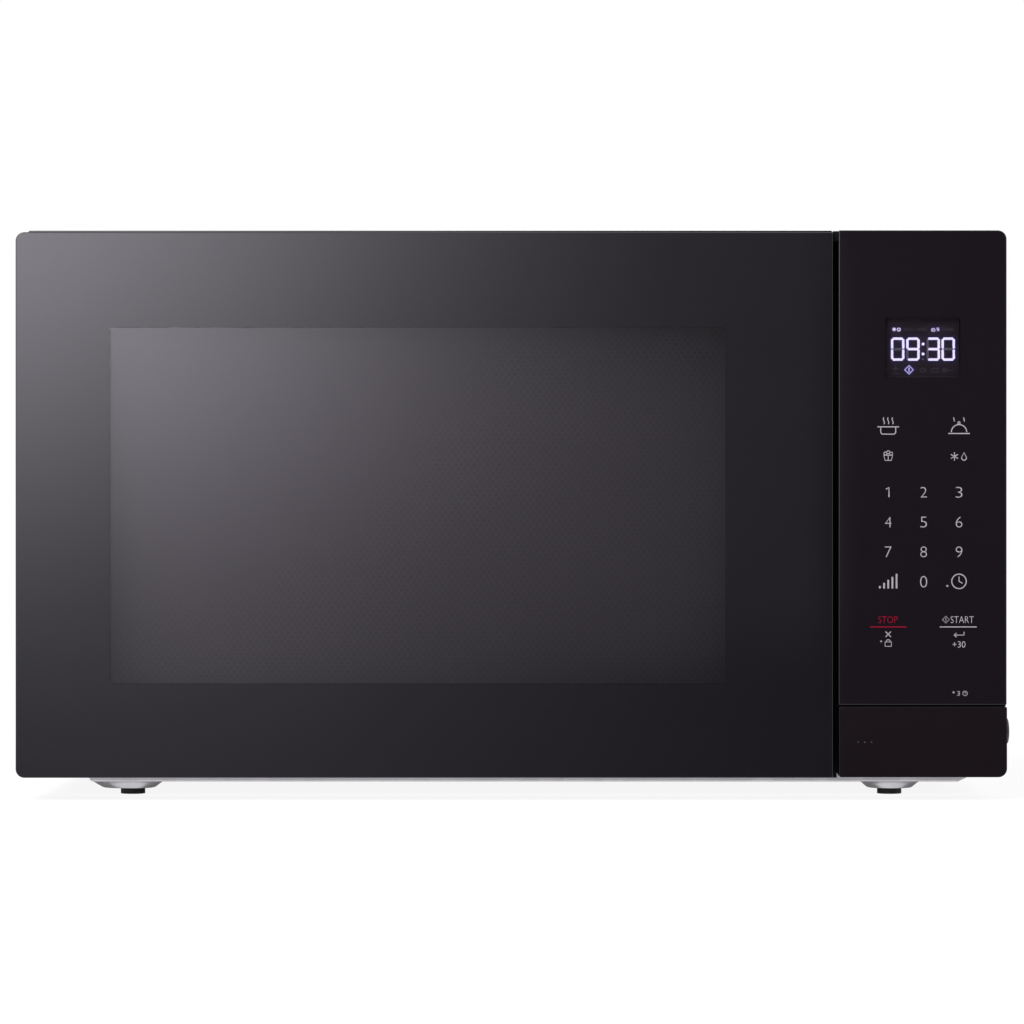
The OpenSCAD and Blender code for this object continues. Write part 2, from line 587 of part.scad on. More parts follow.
// Control panel: fascia, touch sheet, display, board, housing, bumper and release button.
module control_fascia() color([0.06, 0.055, 0.065]) upright(front_y, glass_t)
  outline(panel_l, front_r, fascia_z, front_top, [inner_r, inner_r, outer_r, inner_r]);
touch_t = 0.5;
display_x = panel_l + display_in;
display_z = front_top - display_drop - display_h;
module touch_sheet() color([0.5, 0.45, 0.3]) upright(glass_y, touch_t)
  outline(panel_l + 6, front_r - 6, fascia_z + 8, display_z - 8, [1, 1, 1, 1]);
housing_y = glass_y + touch_t;
module display_module() color([0.1, 0.1, 0.1]) {
  block(display_x, display_x + display_w, glass_y, glass_y + display_t, display_z, display_z + display_h);
  for (x = [display_x + 6, display_x + display_w - 6])
    bar_y(x, glass_y + display_t, board_y, display_z + display_h/2, 1.2);
}
board_y = glass_y + 12;
board_z = fascia_z + 12;
module control_board() color([0.1, 0.35, 0.2]) {
  difference() {
    block(panel_l + 6, front_r - 8, board_y, board_y + board_t, board_z, front_top - 10);
    for (z = [board_z + 6, front_top - 16]) bar_y(panel_l + 12, board_y - past, board_y + 3, z, 3.4);
  }
  block(panel_l + 14, panel_l + 40, board_y + board_t, board_y + 15, board_z + 14, board_z + 40);
  block(panel_l + 46, panel_l + 62, board_y + board_t, board_y + 14, board_z + 18, board_z + 38);
  bar_y(panel_l + 52, board_y + board_t, board_y + 11, board_z + 70, 13);
  bar_y(panel_l + 28, board_y + board_t, board_y + 13, board_z + 64, 10);
  block(panel_l + 22, panel_l + 34, board_y + board_t, board_y + 3.6, board_z + 96, board_z + 108);
}
core_in = mould_wall + 0.9;
core_y = front_y + skirt_h + button_travel + 0.6;
module control_housing() color([0.035, 0.035, 0.04]) difference() {
  union() {
    difference() {
      upright(glass_y, plate_y - glass_y)
        outline(panel_l + 0.4, front_r - 0.5, button_z + 0.6, front_top - 0.7, [inner_r, inner_r, outer_r, inner_r]);
      block(panel_l, front_r, glass_y - past, core_y, button_z - past, fascia_z);
      block(panel_l + 3.4, front_r - 3.5, glass_y - past, housing_y, fascia_z + 3, front_top - 3.7);
      block(panel_l + 0.4 + mould_wall, front_r - 0.5 - mould_wall, housing_y + mould_wall, plate_y + past,
        fascia_z + mould_wall, front_top - 0.7 - mould_wall);
      block(panel_l + 0.4 + mould_wall, front_r - 0.5 - mould_wall, core_y + mould_wall, plate_y + past,
        button_z + 0.6 + mould_wall, fascia_z + mould_wall - 0.2);
      block(display_x - play, display_x + display_w + play, housing_y - past, housing_y + mould_wall + past,
        display_z - play, display_z + display_h + play);
    }
    upright(core_y - 7, 8) difference() {
      outline(panel_l + core_in, front_r - core_in, button_z + core_in, button_top - core_in, [1, 1, 1, 1]);
      outline(panel_l + core_in + 2, front_r - core_in - 2, button_z + core_in + 2, button_top - core_in - 2,
        [1, 1, 1, 1]);
    }
    for (z = [board_z + 6, front_top - 16]) bar_y(panel_l + 12, housing_y + 1, board_y, z, 6);
  }
  for (x = post_xs) bar_y(x, core_y - past, core_y + mould_wall + past, post_z, post_d + 0.3);
  bar_y(rod_x, core_y - past, core_y + mould_wall + past, rod_z, 6.6);
  for (z = [board_z + 6, front_top - 16]) bar_y(panel_l + 12, housing_y + 3, board_y + past, z, 2.6);
}
module side_bumper() color([0.12, 0.12, 0.12]) translate([front_r - 0.5, bumper_y, bumper_z])
  rotate([0, 90, 0]) {
    cylinder(h = 1.2, d = bumper_d);
    translate([0, 0, 1.2]) intersection() {
      cylinder(h = bumper_proud - 0.7, d = bumper_d);
      translate([0, 0, bumper_proud - 0.7 - dome_r]) sphere(dome_r, $fn = 64);
    }
  }
dome_r = bumper_d/2 + 1.5;
bumper_y = front_y + skirt_h + button_travel + 0.5 + bumper_d/2;
post_xs = [panel_l + 28, front_r - 16];
post_z = (button_z + button_top)/2;
rod_z = lever_z - lever_arm;
module release_button() color([0.07, 0.06, 0.075]) {
  difference() {
    upright(front_y, skirt_h) outline(panel_l + 0.3, front_r + 0.2, button_z, button_top, [inner_r, outer_r, inner_r, inner_r]);
    block(panel_l + 0.3 + mould_wall, front_r + 0.2 - mould_wall, front_y + 3, front_y + skirt_h + past,
      button_z + mould_wall, button_top - mould_wall);
  }
  for (x = post_xs) bar_y(x, front_y + 2, core_y + mould_wall + 3, post_z, post_d);
  bar_y(rod_x, front_y + 2, lever_y - 3 - play, rod_z, 6);
}
module button_spring() color("silver") translate([post_xs[1], front_y + 3 + wire_d/2, post_z]) rotate([-90, 0, 0])
  coil(post_d + 3, core_y - front_y - 3 - wire_d, 5);

// Latch board behind the front plate, the release lever on its pin, and the three door switches.
web_x = latch_x - 8;
module latch_board() color([0.85, 0.82, 0.75]) difference() {
  union() {
    block(web_x - 2.4, latch_x + 10, chamber_y, chamber_y + 2.4, hook_z - 26, hook_z + hook_pitch + 24);
    block(web_x - 2.4, web_x, chamber_y, switch_y + 16, hook_z - 26, hook_z + hook_pitch + 24);
    block(web_x - 1, latch_x + 6, chamber_y + 1, hook_end - beak_l - 1.8, hook_z + hook_pitch - beak_h - 5,
      hook_z + hook_pitch - beak_h - play);
    block(web_x - 1, latch_x + 2.6, chamber_y + 1, hook_end - beak_l - 1.8, hook_z - beak_h - 2.6,
      hook_z - beak_h - play);
    bar_x(web_x - 1, rod_x + 4, lever_y, lever_z, 4);
    for (z = [hook_z - 8.4, hook_z + hook_pitch - 8.4]) block(web_x - 1, latch_x + 14, switch_y + 2, switch_y + 14, z - 1.6, z);
  }
  for (z = [hook_z, hook_z + hook_pitch]) block(latch_x - hook_t/2 - 1, latch_x + hook_t/2 + 3.4,
    chamber_y - past, chamber_y + 4, z - beak_h - 0.8, z + hook_h + latch_lift + 0.8);
  block(latch_x - 4.4, latch_x + 20, chamber_y - past, chamber_y + 4, lever_z - lever_arm - 6, lever_z + 8);
}
module release_lever() color([0.8, 0.3, 0.15]) difference() {
  union() {
    bar_x(latch_x - 3, rod_x + 3, lever_y, lever_z, 7);
    bar_x(rod_x - 3, rod_x + 3, lever_y, rod_z, 6);
    block(rod_x - 3, rod_x + 3, lever_y - 2, lever_y + 2, rod_z, lever_z);
    block(latch_x - 3, latch_x + 3, lever_y, lever_y + 14, lever_z - 2, lever_z + 2);
    bar_x(latch_x - 3, latch_x + 3, lever_y + 14, lever_z, 4);
    block(latch_x - 3, latch_x + 3, lever_y + 12, lever_y + 16, lever_z, lever_z + 6.2);
    bar_x(latch_x - 3, latch_x + 3, lever_y + 14, lever_z + 6.2, 5);
  }
  bar_x(latch_x - 4, rod_x + 4, lever_y, lever_z, 4 + 2*fit);
}
module microswitch(z) difference() {
  block(web_x, latch_x + 20, switch_y, switch_y + 16, z, z + 10);
  bar_y(latch_x, switch_y - past, switch_y + 3, z + 5, 2.6);
}
module microswitch_secondary() color([0.1, 0.1, 0.12]) microswitch(hook_z - 8.4);
module microswitch_monitor() color([0.7, 0.15, 0.15]) microswitch(hook_z + 1.9);
module microswitch_primary() color([0.1, 0.1, 0.12]) microswitch(hook_z + hook_pitch - 8.4);
module switch_plungers() color([0.9, 0.9, 0.88]) for (z = [hook_z - 3.4, hook_z + 6.9, hook_z + hook_pitch - 3.4])
  bar_y(latch_x, hook_end + play, switch_y + 2, z, 2.4);

// Turntable: motor, shaft, coupling, roller ring with three rollers and the glass tray.
module turntable_motor() color("silver") difference() {
  union() {
    bar_z(table_x, table_y, chamber_z - sheet - motor_h, chamber_z - sheet, motor_d);
    block(table_x - motor_d/2 - 6, table_x + motor_d/2 + 6, table_y - 6, table_y + 6, chamber_z - sheet - 1, chamber_z - sheet);
    block(table_x - 9, table_x + 9, table_y - motor_d/2 - 7, table_y, chamber_z - sheet - 13, chamber_z - sheet - 3);
  }
  bar_z(table_x, table_y, chamber_z - sheet - 10, chamber_z + past, shaft_d + 2*fit);
}
coupling_z = chamber_z + 0.8;
lobe_z = chamber_z + 8.6;
module turntable_shaft() color([0.85, 0.85, 0.82])
  bar_z(table_x, table_y, chamber_z - sheet - 9.5, coupling_z + 7, shaft_d);
module turntable_coupling() color([0.9, 0.88, 0.82]) translate([table_x, table_y, 0]) difference() {
  union() {
    bar_z(0, 0, coupling_z, lobe_z + 1, coupling_d);
    intersection() {
      bar_z(0, 0, lobe_z, tray_z - play, 2*lobe_r);
      for (a = [0, 120, 240]) rotate(a) block(0, lobe_r, -5, 5, lobe_z, tray_z - play);
    }
  }
  bar_z(0, 0, coupling_z - past, coupling_z + 7, shaft_d + 0.02);
}
module roller_ring() color([0.85, 0.83, 0.78]) translate([table_x, table_y, chamber_z + roller_d/2 + roller_gap]) {
  difference() {
    bar_z(0, 0, -ring_h/2, ring_h/2, 2*ring_r);
    bar_z(0, 0, -ring_h, ring_h, 2*(ring_r - ring_w));
  }
  difference() {
    bar_z(0, 0, -ring_h/2, hub_top, coupling_d + 10);
    bar_z(0, 0, -ring_h, ring_h, coupling_d + 2);
  }
  for (a = [30, 150, 270]) rotate(a) block(coupling_d/2 + 3, ring_r - ring_w/2, -3, 3, -ring_h/2, hub_top);
  for (a = [0, 120, 240]) rotate(a) bar_x(ring_r - 3, roller_path + roller_w/2 + 2, 0, 0, axle_d);
}
hub_top = lobe_z - play - (chamber_z + roller_d/2 + roller_gap);
module roller(a) color([0.93, 0.92, 0.88]) translate([table_x, table_y, chamber_z + roller_d/2 + roller_gap])
  rotate(a) difference() {
    union() {
      bar_x(roller_path - roller_w/2, roller_path + roller_w/2, 0, 0, roller_d - 1);
      bar_x(roller_path - roller_w/2 + 1, roller_path + roller_w/2 - 1, 0, 0, roller_d);
    }
    bar_x(roller_path - roller_w, roller_path + roller_w, 0, 0, axle_d + 0.2);
  }
module roller_1() roller(0);
module roller_2() roller(120);
module roller_3() roller(240);
tray_r = tray_d/2;
module glass_tray() color([0.75, 0.82, 0.85, 0.5]) translate([table_x, table_y, tray_z]) {
  rotate_extrude($fn = 96) polygon([[0, 0], [tray_r - 12, 0], [tray_r, tray_rim - 2], [tray_r, tray_rim],
    [tray_r - 3, tray_rim], [tray_r - 14, tray_t], [0, tray_t]]);
  for (a = [60, 180, 300]) rotate(a) bar_z(lobe_r - 8, 0, -3.5, 0.5, 8);
}

// Magnetron: yoke, tube with its antenna, cooling fins and filter box; and its two leads.
module magnetron_yoke() color([0.7, 0.7, 0.72]) difference() {
  block(yoke_x, yoke_x + yoke_w, tube_y - yoke_l/2, tube_y + yoke_l/2, tube_z - yoke_h/2, tube_z + yoke_h/2);
  block(yoke_x + 1.4, yoke_x + yoke_w - 1.4, tube_y - yoke_l/2 - past, tube_y + yoke_l/2 + past,
    tube_z - yoke_h/2 + 1.4, tube_z + yoke_h/2 - 1.4);
  bar_x(yoke_x - past, yoke_x + yoke_w + past, tube_y, tube_z, 20);
}
tube_d = 38;
module magnetron_anode() color([0.75, 0.45, 0.3]) {
  bar_x(yoke_x + 9, yoke_x + yoke_w - 9, tube_y, tube_z, tube_d);
  bar_x(yoke_x - 18, yoke_x + yoke_w + 8, tube_y, tube_z, 15);
  for (x = [yoke_x + 1.4, yoke_x + yoke_w - 9]) bar_x(x, x + 7.6, tube_y, tube_z, 54);
}
module magnetron_fins() color([0.85, 0.86, 0.87]) for (i = [0:5]) difference() {
  x = yoke_x + 10.5 + i*(yoke_w - 22)/5;
  block(x, x + 0.6, tube_y - yoke_l/2 + 4, tube_y + yoke_l/2 - 4, tube_z - yoke_h/2 + 1.4, tube_z + yoke_h/2 - 1.4);
  bar_x(x - past, x + past + 1, tube_y, tube_z, tube_d);
}
box_x = yoke_x + yoke_w;
module magnetron_filter_box() color([0.72, 0.72, 0.74]) {
  difference() {
    block(box_x, box_x + filter_w, tube_y - 30, tube_y + 30, tube_z - 28, tube_z + 28);
    block(box_x - past, box_x + filter_w - 1, tube_y - 29, tube_y + 29, tube_z - 27, tube_z + 27);
  }
  block(box_x + 4, box_x + filter_w - 4, tube_y - 22, tube_y + 22, tube_z - 36, tube_z - 28);
}
lead_xs = [box_x + 5, box_x + filter_w - 10];
module magnetron_leads() color([0.75, 0.1, 0.1]) for (i = [0, 1]) {
  y = tube_y - 14 + 28*i;
  bar_z(lead_xs[i], y, transformer_top, tube_z - 36, 2.6);
}
// Inverter on the base plate: tray and board, transformer and heat sink.
tray_floor = base_z + sheet;
board_t = 1.6;
post_h = 8;
board_l = 152;
board_in = 8;
board_top = tray_floor + post_h + board_t;
transformer_h = 42;
core_h = 12;
core_l = 48;
transformer_top = board_top + transformer_h;
module inverter_board() color([0.15, 0.4, 0.25]) {
  block(bay_l + board_in, pan_r - 2, tube_y - board_l/2, tube_y + board_l/2, board_top - board_t, board_top);
  for (x = [bay_l + board_in + board_post, pan_r - board_post], s = [-1, 1])
    bar_z(x, tube_y + s*(board_l/2 - board_post), tray_floor, board_top - board_t, board_post + 1);
  for (i = [0:2]) bar_z(bay_l + board_in + 14, tube_y + board_l/2 - 46 + 15*i, board_top, board_top + 24, core_h);
  block(bay_l + 50, bay_l + 66, tube_y + board_l/2 - 36, tube_y + board_l/2 - 10, board_top, board_top + 18);
}
board_post = 6;
module inverter_transformer() color([0.25, 0.2, 0.18]) {
  x0 = lead_xs[0] - 22;
  x1 = lead_xs[1] + 2;
  for (z = [board_top, transformer_top - core_h])
    block(x0, x1, tube_y - core_l/2, tube_y + core_l/2, z, z + core_h);
  bar_z((x0 + x1)/2, tube_y, board_top, transformer_top, x1 - x0 - 1);
}
sink_w = 30;
sink_l = 80;
sink_h = 34;
sink_base = 4;
sink_fins = 6;
sink_fin = 2;
module inverter_heatsink() color([0.8, 0.8, 0.82]) {
  x = bay_l + board_in + 10;
  y = tube_y - board_l/2 + 10;
  block(x, x + sink_w, y, y + sink_l, board_top, board_top + sink_base);
  for (i = [0:sink_fins - 1]) translate([x + i*(sink_w - sink_fin)/(sink_fins - 1), 0, 0])
    block(0, sink_fin, y, y + sink_l, board_top + sink_base, board_top + sink_h);
}

// Cooling: shroud, motor, rotor and blade.
shroud_t = 2;
shroud_h = 114;
shroud_post_in = 12;
module fan_shroud() color([0.15, 0.15, 0.16]) {
  difference() {
    union() {
      block(bay_l + 1, bay_r - 1, shroud_y, shroud_y + shroud_t, tube_z - shroud_h/2, tube_z + shroud_h/2);
      bar_y(fan_x, shroud_y - ring_l, shroud_y + shroud_t/2, tube_z, fan_d + 10);
    }
    bar_y(fan_x, shroud_y - ring_l - past, shroud_y + shroud_t + past, tube_z, fan_d + 6);
  }
  for (x = [fan_x - 24, fan_x + 18])
    block(x, x + 6, shroud_y, shroud_y + 2*shroud_t, tube_z - shroud_h/2 + 3, tube_z + shroud_h/2 - 3);
  for (x = [bay_l + shroud_post_in, bay_r - shroud_post_in], s = [-1, 1])
    bar_y(x, shroud_y + shroud_t/2, panel_y, tube_z + s*(shroud_h/2 - 7), 8);
}
module fan_motor() color([0.45, 0.45, 0.5]) difference() {
  union() {
    block(fan_x - 28, fan_x + 28, shroud_y + 4, shroud_y + 20, tube_z - 22, tube_z + 30);
    block(fan_x - 16, fan_x + 16, shroud_y + 4, shroud_y + 27, tube_z + 16, tube_z + 34);
    block(fan_x - 14, fan_x + 14, shroud_y + 1.6, shroud_y + 22.4, tube_z - 14, tube_z + 14);
  }
  bar_y(fan_x, shroud_y + 4, shroud_y + 20, tube_z, rotor_d + 0.8);
  bar_y(fan_x, shroud_y, shroud_y + 30, tube_z, fan_shaft_d + 2*fit);
}
fan_shaft_d = 3.2;
rotor_d = 20;
module fan_rotor() color([0.7, 0.7, 0.72]) {
  bar_y(fan_x, shroud_y + 4.5, shroud_y + 19.5, tube_z, rotor_d);
  bar_y(fan_x, shroud_y - 12, shroud_y + 24, tube_z, fan_shaft_d);
}
module fan_blade() color([0.2, 0.22, 0.25]) translate([fan_x, shroud_y - 6.5, tube_z]) rotate([90, 0, 0])
  difference() {
    union() {
      translate([0, 0, -6]) cylinder(h = 12, d = 24);
      intersection() {
        translate([0, 0, -6]) cylinder(h = 12, d = fan_d);
        for (i = [0:fan_blades - 1]) rotate(360*i/fan_blades) translate([9, 0, 0]) rotate([28, 0, 0])
          translate([0, -16, -0.8]) cube([fan_d/2, 32, 1.6]);
      }
    }
    translate([0, 0, -7]) cylinder(h = 14, d = fan_shaft_d + 0.02);
  }
// Chamber lamp beside its holes, and the mains noise filter above the fan.
lamp_w = 20;
module cavity_lamp() color([0.9, 0.88, 0.8]) {
  difference() {
    block(bay_l, bay_l + lamp_w, lamp_y - lamp_l/2, lamp_y + lamp_l/2, lamp_z - lamp_h/2, lamp_z + lamp_h/2);
    block(bay_l - past, bay_l + lamp_w - 2, lamp_y - lamp_l/2 + 2, lamp_y + lamp_l/2 - 2,
      lamp_z - lamp_h/2 + 2, lamp_z + lamp_h/2 - 2);
  }
  bar_x(bay_l + 8, bay_l + lamp_w - 1, lamp_y, lamp_z, 12);
}
mains_w = 70;
module noise_filter() color([0.2, 0.45, 0.3]) {
  x = fan_x - 5 - mains_w/2;
  z = tube_z + shroud_h/2;
  block(x, x + mains_w, shroud_y - 10, panel_y - 4, z, z + board_t);
  block(x + 6, x + 28, shroud_y - 4, shroud_y + 16, z + board_t, z + 14);
  block(x + 34, x + 58, shroud_y - 4, shroud_y + 20, z + board_t, z + 12);
}

door_glass();
door_frame();
door_panel();
choke_cover();
inner_window();
door_screws();
latch_key();
latch_spring();
upper_hinge();
lower_hinge();
front_plate();
cavity();
waveguide();
waveguide_cover();
base_plate();
foot_front_left();
foot_front_right();
foot_rear_left();
foot_rear_right();
outer_cabinet();
rear_panel();
rear_spacers();
cabinet_screws();
cord_gland();
control_fascia();
touch_sheet();
display_module();
control_board();
control_housing();
side_bumper();
release_button();
button_spring();
release_lever();
latch_board();
microswitch_primary();
microswitch_secondary();
microswitch_monitor();
switch_plungers();
turntable_motor();
turntable_shaft();
turntable_coupling();
roller_ring();
roller_1();
roller_2();
roller_3();
glass_tray();
magnetron_yoke();
magnetron_anode();
magnetron_fins();
magnetron_filter_box();
magnetron_leads();
inverter_board();
inverter_transformer();
inverter_heatsink();
fan_shroud();
fan_motor();
fan_rotor();
fan_blade();
cavity_lamp();
noise_filter();
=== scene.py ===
import math

import bmesh
import bpy
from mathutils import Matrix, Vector


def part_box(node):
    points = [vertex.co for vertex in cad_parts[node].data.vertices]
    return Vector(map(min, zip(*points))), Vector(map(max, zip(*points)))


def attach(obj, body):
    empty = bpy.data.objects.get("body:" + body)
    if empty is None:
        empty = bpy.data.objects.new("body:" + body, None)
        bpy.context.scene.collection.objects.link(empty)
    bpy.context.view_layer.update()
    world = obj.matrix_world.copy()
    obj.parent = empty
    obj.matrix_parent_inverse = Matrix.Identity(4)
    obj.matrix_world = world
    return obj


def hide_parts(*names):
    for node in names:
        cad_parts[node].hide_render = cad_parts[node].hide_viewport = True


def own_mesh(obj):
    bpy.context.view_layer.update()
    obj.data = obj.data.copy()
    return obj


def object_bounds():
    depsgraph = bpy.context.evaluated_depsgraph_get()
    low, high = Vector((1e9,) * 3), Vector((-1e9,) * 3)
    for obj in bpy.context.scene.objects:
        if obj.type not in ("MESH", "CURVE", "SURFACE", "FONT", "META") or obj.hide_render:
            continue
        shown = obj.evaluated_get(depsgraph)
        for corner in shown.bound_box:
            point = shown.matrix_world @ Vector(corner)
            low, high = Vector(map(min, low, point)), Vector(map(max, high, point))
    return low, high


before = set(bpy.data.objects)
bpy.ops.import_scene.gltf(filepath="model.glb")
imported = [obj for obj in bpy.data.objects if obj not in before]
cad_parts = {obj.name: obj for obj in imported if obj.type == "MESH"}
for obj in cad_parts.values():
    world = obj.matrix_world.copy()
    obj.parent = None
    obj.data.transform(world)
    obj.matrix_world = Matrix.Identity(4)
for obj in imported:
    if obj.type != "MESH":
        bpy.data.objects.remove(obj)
cad_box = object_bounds()

# Camera. It looks straight at the front from two metres, a little above half its height,
# through a long lens, so that the sides stay hidden and the undersides just show.
scene = bpy.context.scene
scene.view_settings.view_transform = "Standard"
eye, focal_length = Vector((-0.00146, -2.194, 0.1387)), 146.43
bpy.ops.object.camera_add(location=eye, rotation=(math.radians(90), 0, 0))
scene.camera = bpy.context.object
scene.camera.name = "Camera"
scene.camera.data.lens = focal_length

# Base plate. One galvanised steel sheet, 0.8 mm thick, pressed into a pan with four shallow
# bosses for the feet and welded to the front plate. The draw leaves the bosses soft-edged.
MM = 0.001


def linear(colour):
    """An sRGB hex colour as linear RGBA."""
    parts = [int(colour[i:i + 2], 16) / 255 for i in (1, 3, 5)]
    return (*(c / 12.92 if c <= 0.04045 else ((c + 0.055) / 1.055) ** 2.4 for c in parts), 1)


def link(tree, made, sources):
    """Links each source, an output or a node's first output, to that socket of a node."""
    for key, source in sources.items():
        tree.links.new(getattr(source, "outputs", [source])[0], made.inputs[key])


def add(tree, kind, values=(), links=()):
    """Adds a node with its settings, the numbers on its sockets and its links."""
    made = tree.nodes.new("ShaderNode" + kind)
    for key, value in dict(values).items():
        if isinstance(key, str) and key[0].islower():
            setattr(made, key, value)
        else:
            made.inputs[key].default_value = value
    link(tree, made, dict(links))
    return made


def new_material(name, **sockets):
    """A material with these numbers on its main shader. Returns it, its nodes and that shader."""
    made = bpy.data.materials.new(name)
    made.use_nodes = True
    shader = made.node_tree.nodes["Principled BSDF"]
    for key, value in sockets.items():
        shader.inputs[key.replace("_", " ")].default_value = value
    return made, made.node_tree, shader


def galvanised(name, light, dark, spangle, rough):
    """Hot-dipped zinc: frost-flower crystals, each with a tone and a gloss of its own. Spangle is
    their width in millimetres."""
    made, tree, shader = new_material(name, Metallic=1.0)
    where = add(tree, "TexCoord").outputs["Object"]
    wavy = add(tree, "TexNoise", {"Scale": 1 / (spangle * MM), "Detail": 4}, {"Vector": where})
    bent = add(tree, "VectorMath", {"operation": "MULTIPLY_ADD", 1: (4 * MM,) * 3},
               {0: wavy.outputs["Color"], 2: where})
    cells = add(tree, "TexVoronoi", {"Scale": 1 / (spangle * MM)}, {"Vector": bent})
    tone = add(tree, "SeparateColor", {}, {0: cells.outputs["Color"]})
    tint = add(tree, "Mix", {"data_type": "RGBA", 6: linear(dark), 7: linear(light)}, {0: tone})
    sheen = add(tree, "MapRange", {"To Min": rough[0], "To Max": rough[1]},
                {"Value": tone.outputs[1]})
    edge = add(tree, "Bump", {"Strength": 0.3, "Distance": 0.05 * MM},
               {"Height": cells.outputs["Distance"]})
    link(tree, shader, {"Base Color": tint.outputs[2], "Roughness": sheen, "Normal": edge})
    return made


def dress(piece, *materials):
    """Gives a piece, or a CAD node by its name, these materials."""
    if isinstance(piece, str):
        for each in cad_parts[piece].material_slots:
            each.material = materials[0]
        return
    piece.data.materials.clear()
    for each in materials:
        piece.data.materials.append(each)


def select_only(*pieces):
    """Leaves edit mode and selects these pieces alone, or nothing, with the first one active."""
    if bpy.context.object and bpy.context.object.mode == "EDIT":
        bpy.ops.object.mode_set(mode="OBJECT")
    bpy.ops.object.select_all(action="DESELECT")
    for each in pieces:
        each.select_set(True)
    if pieces:
        bpy.context.view_layer.objects.active = pieces[0]


def take_up(piece):
    """Opens a piece in edit mode, alone and with nothing selected."""
    select_only(piece)
    bpy.ops.object.mode_set(mode="EDIT")
    bpy.ops.mesh.select_mode(type="VERT")
    bpy.ops.mesh.select_all(action="DESELECT")


def pick(piece, kind, test):
    """Selects, in edit mode, the edges whose two ends pass test, or the faces whose middle and
    normal do. Returns how many there are."""
    mesh = bmesh.from_edit_mesh(piece.data)
    bpy.ops.mesh.select_all(action="DESELECT")
    bpy.ops.mesh.select_mode(type=kind)
    found = 0
    for each in mesh.edges if kind == "EDGE" else mesh.faces:
        said = test(*(v.co for v in each.verts)) if kind == "EDGE" else test(
            each.calc_center_median(), each.normal)
        each.select_set(bool(said))
        found += bool(said)
    bmesh.update_edit_mesh(piece.data)
    return found


def round_off(piece, radius, test, segments=3):
    """Rounds the edges that pass test. Radius is in millimetres."""
    take_up(piece)
    if pick(piece, "EDGE", test):
        bpy.ops.mesh.bevel(offset=radius * MM, segments=segments, affect="EDGES")
    bpy.ops.object.mode_set(mode="OBJECT")


def settle(piece, edge=0.0, segments=2, angle=35):
    """Softens the edges left sharp by that many millimetres and shades the piece so that flat faces
    stay flat."""
    select_only(piece)
    bpy.ops.object.transform_apply()
    if edge:
        soft = piece.modifiers.new("Soft edges", "BEVEL")
        soft.width = edge * MM
        soft.segments = segments
        soft.angle_limit = math.radians(angle)
        bpy.ops.object.modifier_apply(modifier=soft.name)
    bpy.ops.object.shade_smooth_by_angle(angle=math.radians(angle))
    even = piece.modifiers.new("Flat faces", "WEIGHTED_NORMAL")
    even.keep_sharp = True
    bpy.ops.object.modifier_apply(modifier=even.name)
    return piece


def another(model, name, x=0.0, y=0.0, z=0.0, turn=0.0):
    """A copy of a piece made at the origin, with a mesh of its own, at its place. It is turned by
    that many degrees about the axis that runs to the rear."""
    piece = bpy.data.objects.new(name, model.data.copy())
    bpy.context.collection.objects.link(piece)
    piece.location = (x, y, z)
    piece.rotation_euler.y = math.radians(turn)
    return piece


def copy_of(node, name):
    """A new piece from a CAD node's mesh, with its triangles joined into whole faces."""
    piece = another(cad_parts[node], name)
    take_up(piece)
    bpy.ops.mesh.customdata_custom_splitnormals_clear()
    bpy.ops.mesh.select_all(action="SELECT")
    bpy.ops.mesh.remove_doubles(threshold=0.002 * MM)
    bpy.ops.mesh.dissolve_limited(angle_limit=math.radians(0.4))
    bpy.ops.object.mode_set(mode="OBJECT")
    return piece


def stand_in(piece, body, *nodes):
    """The piece rides on that body and stands for these CAD nodes, which it hides."""
    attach(piece, body)
    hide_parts(*nodes)


def near(a, b, reach=0.1 * MM):
    return abs(a - b) < reach


# Silver zinc with faint crystals about 7 mm across, as thin modern coatings have.
zinc_sheet = galvanised("galvanised_steel_pressed", "#C6C4C8", "#BAB8BC", spangle=7,
                        rough=(0.32, 0.4))
foot_names = ["foot_front_left", "foot_front_right", "foot_rear_left", "foot_rear_right"]
foot_at = [sum(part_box(n), Vector()) / 2 for n in foot_names]
pan_low, pan_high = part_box("base_plate")
# Heights of the pan's floor, of its raised rim and of the bosses' ends, and where the floor's folds
# at the two sides begin.
pan_z, rim_z = pan_low.z + 3.7 * MM, pan_low.z + 8.3 * MM
boss_end = pan_z - 4.4 * MM
left_fold, right_fold = pan_low.x + 32.2 * MM, pan_high.x - 21.2 * MM


def on_ring(z, radius, reach):
    """Edges on one of the rings of a boss: all at that height, about that far from its middle."""
    return lambda a, b: all(near(v.z, z) and any(
        near((v.xy - c.xy).length, radius, reach) for c in foot_at) for v in (a, b))


# The draw is fuller than a plain cone: the three rings of each boss, given by height and radius,
# move to the press's profile. The bosses at the left run into the fold of the pan there.
boss_rings = ((3.7, 11, 10.9, boss_end), (7.4, 17, 16.9, pan_z), (5.75, 14, 13.4, boss_end + 2.1 * MM))
base = copy_of("base_plate", "base_pan")
take_up(base)
mesh = bmesh.from_edit_mesh(base.data)
for vertex in mesh.verts:
    if vertex.co.x < left_fold + 0.1 * MM and near(vertex.co.z, pan_z, 0.42 * MM):
        vertex.co.x, vertex.co.z = left_fold, pan_z
for drawn_z, ring_r, new_r, new_z in boss_rings:
    for vertex in mesh.verts:
        for centre in foot_at:
            out = vertex.co.xy - centre.xy
            if near(vertex.co.z, drawn_z * MM, 0.02 * MM) and near(out.length, ring_r * MM, 0.3 * MM):
                out *= new_r / ring_r
                vertex.co = (centre.x + out.x, centre.y + out.y, new_z)
                break
for vertex in mesh.verts:
    vertex.select_set(near(vertex.co.z, pan_z) and any(
        near((vertex.co.xy - c.xy).length, 16.4 * MM, 1.3 * MM) for c in foot_at))
bmesh.update_edit_mesh(base.data)
